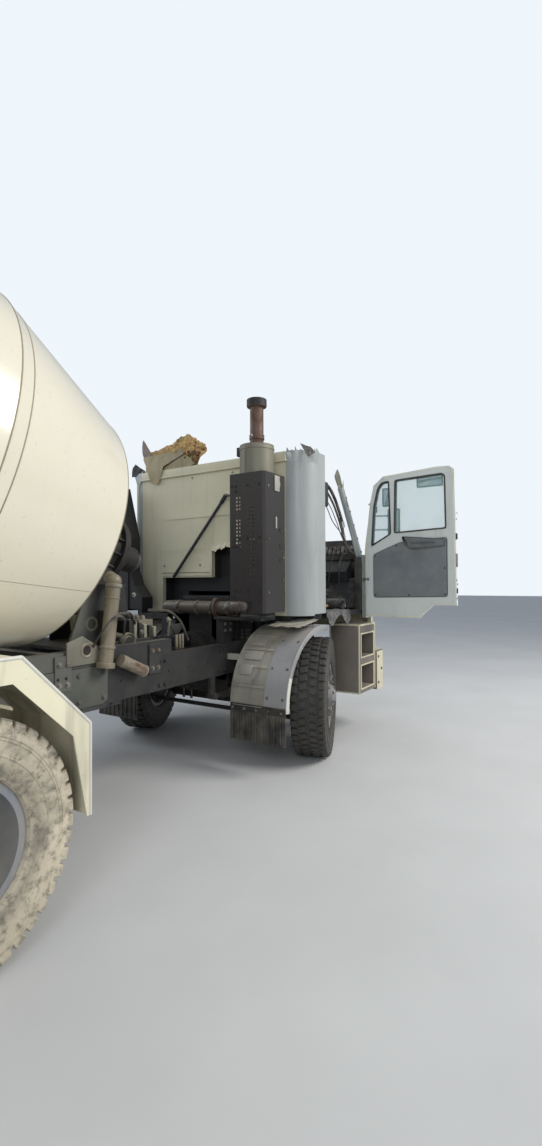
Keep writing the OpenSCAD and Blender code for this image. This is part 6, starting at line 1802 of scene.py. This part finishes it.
        # Flanged port: two pale rings one inside the other
        for r in (0.066, 0.046):
            shape.turned([(r - 0.012, -0.01), (r - 0.010, 0.014), (r - 0.004, 0.02), (r, 0.014), (r + 0.002, -0.01)],
                         "splashed steel", 40,
                         local=shift(-1.646, -0.372, 1.16) @ FLIP_Y)
        shape.rod((-1.646, -0.32, 1.16), (-1.646, -0.384, 1.16), 0.036, "grease", sides=28)
        shape.rod((-1.646, -0.36, 1.16), (-1.646, -0.18, 1.18), 0.05, "pipe steel", sides=28)
        # Ribbed casting between the port and the pump
        for k in range(6):
            shape.box((-1.60 + 0.05 * k, -1.572 + 0.05 * k), (-0.34, -0.20), (1.17, 1.31 - 0.012 * k),
                      "splashed steel" if k % 2 else "grease", 0.006)
        shape.box((-1.80, -1.30), (-0.33, -0.21), (1.152, 1.20), "grease", 0.01)
        # Canister outside the rail: pale band at its rear end and its cap's rim
        a, b = Vector((-1.815, -0.482, 1.058)), Vector((-1.59, -0.482, 0.95))
        along = (b - a).normalized()
        shape.rod(a + along * 0.03, a + along * 0.05, 0.0445, "splashed steel", sides=32, edge=0.002)
        shape.rod(b - along * 0.012, b + along * 0.002, 0.0445, "splashed steel", sides=32, edge=0.003)
        # Hoses
        for points, r in (
                ([(-1.92, -0.33, 1.12), (-2.0, -0.42, 1.15), (-2.03, -0.55, 1.27), (-1.95, -0.575, 1.36),
                  (-1.84, -0.54, 1.35), (-1.74, -0.44, 1.27), (-1.68, -0.37, 1.22)], 0.009),
                ([(-1.35, -0.10, 1.26), (-1.45, -0.2, 1.34), (-1.6, -0.26, 1.36), (-1.78, -0.27, 1.33)], 0.012),
                ([(-1.26, 0.02, 1.29), (-1.32, 0.1, 1.42), (-1.5, 0.2, 1.46), (-1.7, 0.24, 1.36), (-1.76, 0.25, 1.16)],
                 0.014),
                ([(-1.20, -0.12, 1.28), (-1.14, -0.22, 1.36), (-1.02, -0.28, 1.30), (-0.9, -0.3, 1.1)], 0.01),
                ([(-2.1, 0.42, 1.1), (-2.02, 0.5, 1.3), (-1.95, 0.44, 1.5), (-1.86, 0.3, 1.6)], 0.013)):
            shape.pipe(points, r, "hose", 10)
        # Valve block's caps, fittings and pale lever bracket
        for y in (-0.12, -0.06, 0.0):
            shape.turned([(0.0, 0.035), (0.014, 0.033), (0.02, 0.02), (0.02, 0.0)], "splashed steel", 20, axis="Z",
                         local=shift(-1.255, y, 1.29))
        shape.bolts([(-1.392, -0.06 + y, 1.21 + z) for y, z in circle(6, 0.045)], (-1, 0, 0), "old steel", 0.016)
        shape.plate([(-1.12, 1.24), (-0.98, 1.25), (-0.97, 1.21), (-1.02, 1.165), (-1.06, 1.165)], -0.30, -0.288, "Y",
                    "mixer paint and shade", 0.003)
        for x in (-1.06, -1.02, -0.985):
            shape.rod((x, -0.31, 1.04), (x, -0.31, 1.16), 0.011, "pipe steel", sides=14, edge=0.002)
        shape.rod((-1.08, -0.24, 1.15), (-1.09, -0.26, 1.28), 0.01, "splashed steel", sides=12)
        shape.rod((-1.09, -0.26, 1.27), (-1.09, -0.24, 1.30), 0.022, "splashed steel", r2=0.012, sides=14)

    def engine(self, shape):
        # Sump, covers, pulleys and pipes on the plain block
        shape.box((-0.30, 0.66), (-0.26, 0.26), (0.52, 0.66), "grease", 0.03, 3)
        for k in range(6):
            x = -0.30 + 0.165 * k
            shape.box((x, x + 0.14), (-0.30, 0.30), (1.40, 1.46), "grease", 0.02, 3)
            for side in (1, -1):
                shape.box((x + 0.02, x + 0.12), span(side, 0.325, 0.352), (0.98, 1.22), "grease", 0.012)
                shape.bolts([(x + 0.03, side * 0.352, 1.0), (x + 0.11, side * 0.352, 1.2)], (0, side, 0), "old steel",
                            0.018)
        for side in (1, -1):
            shape.rod((-0.34, side * 0.36, 1.28), (0.66, side * 0.36, 1.28), 0.042,
                      "grease" if side > 0 else "pipe steel", sides=24, edge=0.006)
            shape.box((-0.38, -0.30), span(side, 0.12, 0.33), (0.66, 1.36), "grease", 0.02)
        for z, r in ((1.22, 0.09), (0.98, 0.12), (0.76, 0.10)):
            shape.rod((0.75, 0.1, z), (0.80, 0.1, z), r, "grease", sides=36, edge=0.006)
        # Clutch and gearbox housings: ribs, bolt ring and shift tower
        for x, r in ((-0.40, 0.263), (-0.545, 0.263), (-0.58, 0.2), (-0.86, 0.194), (-1.16, 0.194)):
            local = shift(0, 0, 0.86 if x > -0.57 else 0.85)
            shape.band(r - 0.01, r + 0.008, x - 0.012, x + 0.012, "grease", 48, "X", local)
        for k in range(12):
            shape.box((-1.15, -0.88), (-0.008, 0.008), (0.185, 0.205), "grease", 0.003, 1,
                      shift(0, 0, 0.85) @ turn(30 * k, "X"))
        shape.box((-0.86, -0.64), (-0.11, 0.11), (1.02, 1.12), "grease", 0.02)
        shape.rod((-0.75, 0.04, 1.11), (-0.70, 0.05, 1.24), 0.03, "hose", sides=20)
        shape.bolts([(-0.40, y, 0.86 + z) for y, z in circle(16, 0.24)], (-1, 0, 0), "old steel", 0.02)

    def execute(self, context):
        shape = Shape()
        self.rails(shape)
        self.springs(shape)
        self.brakes(shape)
        self.hydraulics(shape)
        self.engine(shape)
        shape.done("chassis_trim", "chassis", "frame_paint")
        return {"FINISHED"}


class Guards(bpy.types.Operator):
    """Folds, rolled edges, bands, bolts and flap strips of the mudguards"""

    bl_idname = "mixer.guards"
    bl_label = "Mudguards and flaps"

    # The rear guards' folds in X and Z, from front to rear
    FOLDS = [(-2.69, 0.50), (-2.69, 0.93), (-3.04, 1.28), (-4.91, 1.28), (-5.26, 0.93), (-5.26, 0.50)]

    # Rows: how far a front guard's band reaches outside its radius and inside it (at its foot, round its arc), where
    # its arc starts, its foot's height, its limits across the truck, its finish and its edges
    BANDS = [(0.004, (0.004, 0.001), 82, 0.525, 0.90, 1.118, "smooth guard", 0.0),
             (0.007, (0.03, 0.034), 82, 0.522, 1.112, 1.1215, "smooth guard", 0.002),
             (0.008, (0.032, 0.036), 156, 0.521, 1.116, 1.1245, "white edge", 0.002)]

    def arc(self, r, start, end, steps=18):
        """Points of an arc about the front axle, in X and Z."""
        angles = [radians(start + (end - start) * k / steps) for k in range(steps + 1)]
        return [(r * cos(a), AXLE_Z + r * sin(a)) for a in angles]

    def execute(self, context):
        shape = Shape()
        for side in (1, -1):
            # Front guard: smooth band along its outer edge, white strip at the rim, ridges across the dirty inner part
            for outer, inner, start, foot, low, high, finish, edge in self.BANDS:
                band = self.arc(GUARD_R + outer, start, 180) + [(-GUARD_R - outer, foot), (-GUARD_R + inner[0], foot)]
                band += self.arc(GUARD_R - inner[1], 180, start)
                shape.plate(band, *span(side, low, high), "Y", finish, edge)
            for angle in range(90, 181, 15):
                shape.box((GUARD_R, GUARD_R + 0.009), span(side, 0.585, 0.885), (-0.012, 0.012), "front guard paint",
                          0.004, 2,
                          shift(0, 0, AXLE_Z) @ turn(-angle, "Y"))
            for angle, low, high in ((128, 0.60, 0.78), (141, 0.62, 0.80), (153, 0.60, 0.74)):
                shape.box((GUARD_R + 0.001, GUARD_R + 0.014), span(side, low, high), (-0.045, 0.045),
                          "front guard paint", 0.006, 2,
                          shift(0, 0, AXLE_Z) @ turn(-angle, "Y"))
            shape.plate(self.arc(GUARD_R + 0.006, 84, 180) + self.arc(GUARD_R - 0.03, 180, 84),
                        *span(side, 0.56, 0.566), "Y", "front guard paint", 0.0)

            # Torn top ledge under the cab's corner, bent like paper
            def ledge(u, v, side=side):
                push = wander((u * 4, v * 2, side), 3.0, 0.014, 14)
                return (-0.40 + 0.34 * u, side * (0.78 + 0.33 * v), 1.205 + 0.045 * u + push.z)
            shape.skin(ledge, 24, 12, 0.004, "front guard paint")
            for angle in (100, 125, 150, 172):
                shape.bolts([(-(GUARD_R + 0.004) * cos(radians(180 - angle)), side * y,
                              AXLE_Z + (GUARD_R + 0.004) * sin(radians(angle)))
                             for y in (0.93, 1.08)], (cos(radians(angle)), 0, sin(radians(angle))), "old steel", 0.016,
                            0.006)
            # Front flap: clamping strip, bolts and ribs
            x = -GUARD_R - 0.006
            shape.box((x - 0.014, x - 0.002), span(side, 0.57, 1.105), (0.505, 0.545), "chassis paint and shade", 0.003)
            shape.bolts([(x - 0.014, side * (0.60 + 0.12 * k), 0.525) for k in range(5)], (-1, 0, 0), "old steel",
                        0.018)
            for k in range(9):
                y = side * (0.59 + 0.06 * k)
                shape.box((x - 0.010, x - 0.003), (y - 0.005, y + 0.005), (0.262, 0.50), "dusty rubber", 0.002)
            # Rear guards: rolled edge along the folds, stiffening beads, bolts and the rear flaps' strip and ribs
            shape.pipe([(x, side * 1.247, z + 0.001) for x, z in self.FOLDS[:2]], 0.009, "white edge", 8)
            for (xa, za), (xb, zb) in zip(self.FOLDS, self.FOLDS[1:]):
                shape.rod((xa, side * 1.246, za), (xb, side * 1.246, zb), 0.009, "white edge", sides=10)
            for x in (-3.3, -3.65, -4.3, -4.65):
                shape.box((x - 0.015, x + 0.015), span(side, 0.66, 1.235), (1.276, 1.286), "guard paint", 0.004)
            for y in (0.72, 0.95, 1.18):
                shape.bolts([(-3.975, side * y, 1.281), (-3.12, side * y, 1.281), (-4.83, side * y, 1.281)], (0, 0, 1),
                            "old steel", 0.02, 0.008)
                shape.bolts([(-2.686, side * y, 0.60), (-2.686, side * y, 0.86)], (1, 0, 0), "old steel", 0.018, 0.007)
                shape.bolts([(-5.264, side * y, 0.60), (-5.264, side * y, 0.86)], (-1, 0, 0), "old steel", 0.018, 0.007)
            shape.box((-5.276, -5.262), span(side, 0.65, 1.235), (0.505, 0.55), "chassis paint and shade", 0.003)
            for k in range(9):
                y = side * (0.67 + 0.068 * k)
                shape.box((-5.274, -5.267), (y - 0.006, y + 0.006), (0.262, 0.50), "dusty rubber", 0.002)
        shape.done("guard_trim", "chassis", "guard_paint")
        return {"FINISHED"}


class Ends(bpy.types.Operator):
    """Bumper, head and tail lamps, steps, plates and tanks"""

    bl_idname = "mixer.ends"
    bl_label = "Bumper, lamps, steps and tanks"

    def execute(self, context):
        shape = Shape()
        for side in (1, -1):
            # Headlamps: chrome bowls under ribbed glass, bezel, indicator and driving lamp
            shape.frame(rounded(rect(side * 0.785, side * 1.055, 0.565, 0.735), 0.02), 0.014,
                        1.418, 1.432, "X", "plastic")
            for y in (0.86, 0.98):
                shape.turned([(0.0, 1.424), (0.03, 1.4245), (0.052, 1.427), (0.056, 1.431), (0.058, 1.4275)],
                             "bright steel", 36, axis="X",
                             local=shift(0, side * y, 0.65))
                shape.turned([(0.05, 1.4285), (0.03, 1.436), (0.0, 1.438)], "clear lens", 36, axis="X",
                             local=shift(0, side * y, 0.65))
            shape.box((1.36, 1.405), span(side, 1.065, 1.145), (0.60, 0.70), "amber lens", 0.008, 3)
            shape.box((1.462, 1.474), span(side, 0.62, 0.72), (0.60, 0.67), "clear lens", 0.008, 3)
            # Bumper's rusty end edge, seam and bolts
            shape.box((1.105, 1.118), span(side, 1.152, 1.212), (0.432, 0.848), "brown plate", 0.003)
            shape.box((1.11, 1.28), span(side, 1.205, 1.214), (0.836, 0.852), "old steel", 0.003)
            shape.bolts([(1.16, side * 1.2105, 0.50), (1.16, side * 1.2105, 0.78), (1.25, side * 1.2105, 0.64)],
                        (0, side, 0), "old steel", 0.022, 0.008)
            shape.bolts([(1.472, side * y, z) for y in (0.46, 0.2) for z in (0.55, 0.80)], (1, 0, 0), "old steel",
                        0.022, 0.008)
            # Steps: chequered treads, cream edges round the risers and the brown end plate
            for z in (0.5, 0.82, 1.05):
                high = 1.15 if z > 1 else z
                for k in range(11):
                    for j in range(4):
                        local = shift(0.75 + 0.028 * k, side * (0.99 + 0.045 * j),
                                      high + 0.001) @ turn(45 if (k + j) % 2 else -45, "Z")
                        shape.box((-0.011, 0.011), (-0.003, 0.003), (-0.001, 0.002), "brown plate", 0, 1, local)
            for z0, z1 in ((0.5, 0.73), (0.82, 1.05)):
                shape.frame(rect(0.716, 1.074, z0 - 0.014, z1 + 0.014), 0.016, *span(side, 1.188, 1.196), "Y",
                            "cab paint")
            shape.box((0.684, 0.691), span(side, 0.865, 1.185), (0.455, 1.145), "brown plate", 0.003)
            shape.frame(rect(side * 0.857, side * 1.193, 0.447, 1.153), 0.016, 0.680, 0.692, "X", "cab paint")
            for x, z in (((0.70, 1.10), (1.134, 1.154)), ((1.09, 1.104), (0.45, 1.14))):
                shape.box(x, span(side, 1.184, 1.197), z, "cab paint", 0.004)
            # Tail lamps: three lenses in a housing, guard bars, reflector
            for k, finish in enumerate(("red lens", "amber lens", "clear lens")):
                y0 = 0.715 + 0.1 * k
                shape.box((-5.934, -5.919), span(side, y0, y0 + 0.09), (0.89, 0.97), finish, 0.006, 3)
            for z in (0.905, 0.93, 0.955):
                shape.rod((-5.944, side * 0.71, z), (-5.944, side * 1.01, z), 0.004, "chassis paint and shade", sides=8)
            for y in (0.71, 0.86, 1.01):
                shape.rod((-5.944, side * y, 0.895), (-5.944, side * y, 0.965), 0.004, "chassis paint and shade", sides=8)
            shape.turned([(0.0, 0.008), (0.03, 0.006), (0.034, 0.0)], "red lens", 28, axis="X",
                         local=shift(-5.881, side * 0.6, 0.93) @ turn(180, "Z"))
            shape.bolts([(-5.88, side * y, z) for y in (0.3, 1.08) for z in (0.885, 0.975)], (-1, 0, 0), "old steel")
            shape.bolts([(-5.88, side * y, 0.47) for y in (0.35, 0.42, 1.05)], (-1, 0, 0), "old steel")
            # White and red bar ends, plain
            shape.box((-5.886, -5.879), span(side, 0.80, 1.12), (0.435, 0.505), "plate", 0.002)
        # Blank plates, front and rear
        for x0, x1, z in ((1.47, 1.4745, 0.52), (-5.9255, -5.921, 0.60)):
            shape.box((x0, x1), (-0.26, 0.26), (z - 0.055, z + 0.055), "plate", 0.001)
        shape.box((-5.921, -5.875), (-0.28, 0.28), (0.53, 0.67), "chassis paint and shade", 0.004)
        shape.bolts([(-5.9255, y, 0.60) for y in (-0.22, 0.22)], (-1, 0, 0), "old steel", 0.014, 0.004)
        # Grille bars in the bumper's opening
        for k in range(5):
            z = 0.64 + 0.025 * k
            shape.box((1.405, 1.412), (-0.42, 0.42), (z, z + 0.012), "plastic", 0.003)
        # Fuel tank: straps, cap, ribs and rims; water tank: straps, dished ends and cap
        for x in (-1.725, -1.40, -1.075):
            shape.frame(rounded(rect(0.466, 1.034, 0.476, 1.044), 0.03), 0.006, x - 0.025, x + 0.025, "X", "old steel")
            shape.bolts([(x, 0.60, 1.042)], (0, 0, 1), "old steel", 0.02)
        shape.turned([(0.0, 0.05), (0.04, 0.049), (0.052, 0.042), (0.054, 0.012), (0.042, 0.008), (0.042, 0.0)],
                     "plastic", 32, axis="Z",
                     local=shift(-1.56, 0.86, 1.04))
        for z in (0.58, 0.70, 0.82, 0.94):
            shape.box((-1.84, -0.96), (1.028, 1.036), (z - 0.01, z + 0.01), "tank metal", 0.004)
        for x in (-1.85, -0.95):
            shape.frame(rounded(rect(0.476, 1.024, 0.486, 1.034), 0.02), 0.02, x - 0.006, x + 0.006, "X", "tank metal")
        x0, x1 = REAR_AXLES[0] + 0.66, -1.95
        for x in (x0 + 0.165, x1 - 0.165):
            shape.band(0.2305, 0.236, x - 0.022, x + 0.022, "old steel", 56, "X", shift(0, 0.74, 0.76))
        for x, way in ((x0, -1), (x1, 1)):
            shape.turned([(0.231, 0.0), (0.232, 0.006), (0.2, 0.008), (0.12, 0.009), (0.0, 0.009)], "tank metal", 48,
                         axis="X",
                         local=shift(x, 0.74, 0.76) @ (Matrix() if way > 0 else turn(180, "Z")))
        shape.turned([(0.0, 0.03), (0.03, 0.028), (0.036, 0.02), (0.036, -0.005)], "old steel", 28, axis="Z",
                     local=shift(-2.3, 0.74, 0.99))
        shape.done("end_trim", "chassis", "bumper_paint")

        # Cab's nose: grille bars and surround, side lamps, wiper pivots and one wiper's stub
        nose = Shape()
        for side in (1, -1):
            nose.box((1.392, 1.402), span(side, 0.64, 0.66), (1.17, 1.48), "chassis paint and shade", 0.003)
            nose.box((1.33, 1.40), span(side, 0.93, 1.03), (1.62, 1.68), "amber lens", 0.008, 3)
        for z in (1.19, 1.25, 1.31, 1.37, 1.43):
            nose.box((1.33, 1.345), (-0.62, 0.62), (z - 0.004, z + 0.034), "chassis paint and shade", 0.002)
            nose.box((1.398, 1.404), (-0.62, 0.62), (z - 0.006, z - 0.001), "cab paint", 0.001)
        nose.frame(rect(-0.66, 0.66, 1.165, 1.485), 0.016, 1.398, 1.404, "X", "chassis paint and shade")
        for y in (-0.45, 0.05, 0.55):
            nose.turned([(0.0, 0.034), (0.014, 0.032), (0.02, 0.0)], "plastic", 20, axis="Z",
                        local=shift(1.368, y, 1.88))
        nose.rod((1.372, 0.05, 1.905), (1.366, 0.40, 1.93), 0.006, "plastic", sides=10)
        nose.done("nose_trim", "cab", "cab_paint")
        return {"FINISHED"}


class Stage(bpy.types.Operator):
    """Camera at the photograph's angle, pale floor and soft studio light"""

    bl_idname = "mixer.stage"
    bl_label = "Camera, floor and light"

    EYE = (-4.3779, -3.3197, 1.5899)
    YAW, PITCH, ROLL = 0.5612, 0.0168, -0.0046
    SENSOR, LENS = 36.0, 16.777
    # Rows: where a lamp hangs, what it points at, its width, watts and colour
    LAMPS = [((2.5, -8.5, 7.5), (-1.0, 0.0, 1.4), 5.0, 760.0, (1.0, 0.97, 0.92)),
             ((-10.5, -6.0, 5.5), (-2.0, 0.0, 1.6), 4.5, 230.0, (0.95, 0.98, 1.0)),
             ((-3.0, 8.0, 6.0), (-2.5, 0.0, 1.8), 5.0, 190.0, (0.96, 0.98, 1.0))]

    def execute(self, context):
        scene = context.scene
        ahead = Vector((cos(self.YAW) * cos(self.PITCH), sin(self.YAW) * cos(self.PITCH), sin(self.PITCH)))
        right = ahead.cross(Vector((0, 0, 1))).normalized()
        up = right.cross(ahead)
        across = right * cos(self.ROLL) + up * sin(self.ROLL)
        upward = up * cos(self.ROLL) - right * sin(self.ROLL)
        view = bpy.data.cameras.new("photo_camera")
        view.sensor_width, view.lens = self.SENSOR, self.LENS
        view.clip_start, view.clip_end = 0.05, 200.0
        camera = bpy.data.objects.new("photo_camera", view)
        turned = Matrix((across, upward, -ahead)).transposed().to_4x4()
        camera.matrix_world = Matrix.Translation(Vector(self.EYE) + DATUM) @ turned
        scene.collection.objects.link(camera)
        scene.camera = camera

        for k, (place, target, width, watts, tint) in enumerate(self.LAMPS):
            lamp = bpy.data.lights.new("softbox_%d" % k, "AREA")
            lamp.shape, lamp.size, lamp.energy = "DISK", width, watts
            lamp.color = tint
            holder = bpy.data.objects.new("softbox_%d" % k, lamp)
            aim = Vector(target) - Vector(place)
            turned = aim.to_track_quat("-Z", "Y").to_matrix().to_4x4()
            holder.matrix_world = Matrix.Translation(Vector(place) + DATUM) @ turned
            scene.collection.objects.link(holder)

        form = bmesh.new()
        bmesh.ops.create_grid(form, x_segments=1, y_segments=1, size=60.0)
        ground = bpy.data.meshes.new("floor")
        form.to_mesh(ground)
        form.free()
        floor = bpy.data.objects.new("floor", ground)
        scene.collection.objects.link(floor)
        f = Finish("floor_pale")
        f.bump(f.noise(6, 6), 0.05, 0.004)
        speck = f.mix(f.steps(f.noise(0.9, 6), 0.3, 0.7), (0.60, 0.60, 0.59), (0.66, 0.66, 0.65))
        floor.data.materials.append(f.done(speck, f.level(f.noise(3, 3), 0.82, 0.92)))

        world = bpy.data.worlds.new("studio")
        scene.world = world
        world.use_nodes = True
        nodes, links = world.node_tree.nodes, world.node_tree.links
        nodes.clear()
        ray = nodes.new("ShaderNodeLightPath")
        seen = nodes.new("ShaderNodeMath")
        seen.operation, seen.use_clamp = "ADD", True
        blend, out = nodes.new("ShaderNodeMixShader"), nodes.new("ShaderNodeOutputWorld")
        for k, name in enumerate(("Is Camera Ray", "Is Transmission Ray")):
            links.new(ray.outputs[name], seen.inputs[k])
        links.new(seen.outputs[0], blend.inputs[0])
        # The light that falls on the truck, then the backdrop that the camera sees
        for k, (tint, strength) in enumerate((((0.78, 0.87, 1.0, 1), 0.46), ((0.86, 0.92, 0.97, 1), 1.0))):
            sky = nodes.new("ShaderNodeBackground")
            sky.inputs["Color"].default_value, sky.inputs["Strength"].default_value = tint, strength
            links.new(sky.outputs[0], blend.inputs[k + 1])
        links.new(blend.outputs[0], out.inputs["Surface"])
        scene.view_settings.view_transform = "Standard"
        return {"FINISHED"}


class MixerPanel(bpy.types.Panel):
    """Lists the truck's pieces, sizes and colours"""

    bl_idname = "VIEW3D_PT_mixer_truck"
    bl_label = "Mixer truck"
    bl_space_type = "VIEW_3D"
    bl_region_type = "UI"
    bl_category = "Mixer truck"

    def draw(self, context):
        for operator in OPERATORS:
            self.layout.operator(operator.bl_idname)
        for group in (context.scene.mixer_sizes, context.scene.mixer_colours):
            box = self.layout.box()
            for name in group.bl_rna.properties.keys():
                if name not in ("rna_type", "name"):
                    box.prop(group, name)


OPERATORS = (PaintFrame, Stage, Tyres, WheelTrim, DrumTrim, MixerTrim, CabTrim, TornRoof, DoorTrim, Exhaust, Inside,
             Seats,
             Chassis, Guards, Ends)
CLASSES = (MixerSizes, MixerColours) + OPERATORS + (MixerPanel,)


def register():
    for made in CLASSES:
        bpy.utils.register_class(made)
    bpy.types.Scene.mixer_sizes = PointerProperty(type=MixerSizes)
    bpy.types.Scene.mixer_colours = PointerProperty(type=MixerColours)


def unregister():
    del bpy.types.Scene.mixer_colours
    del bpy.types.Scene.mixer_sizes
    for made in reversed(CLASSES):
        bpy.utils.unregister_class(made)


def main():
    register()
    for operator in OPERATORS:
        group, name = operator.bl_idname.split(".")
        getattr(getattr(bpy.ops, group), name)()


if __name__ == "__main__":
    main()
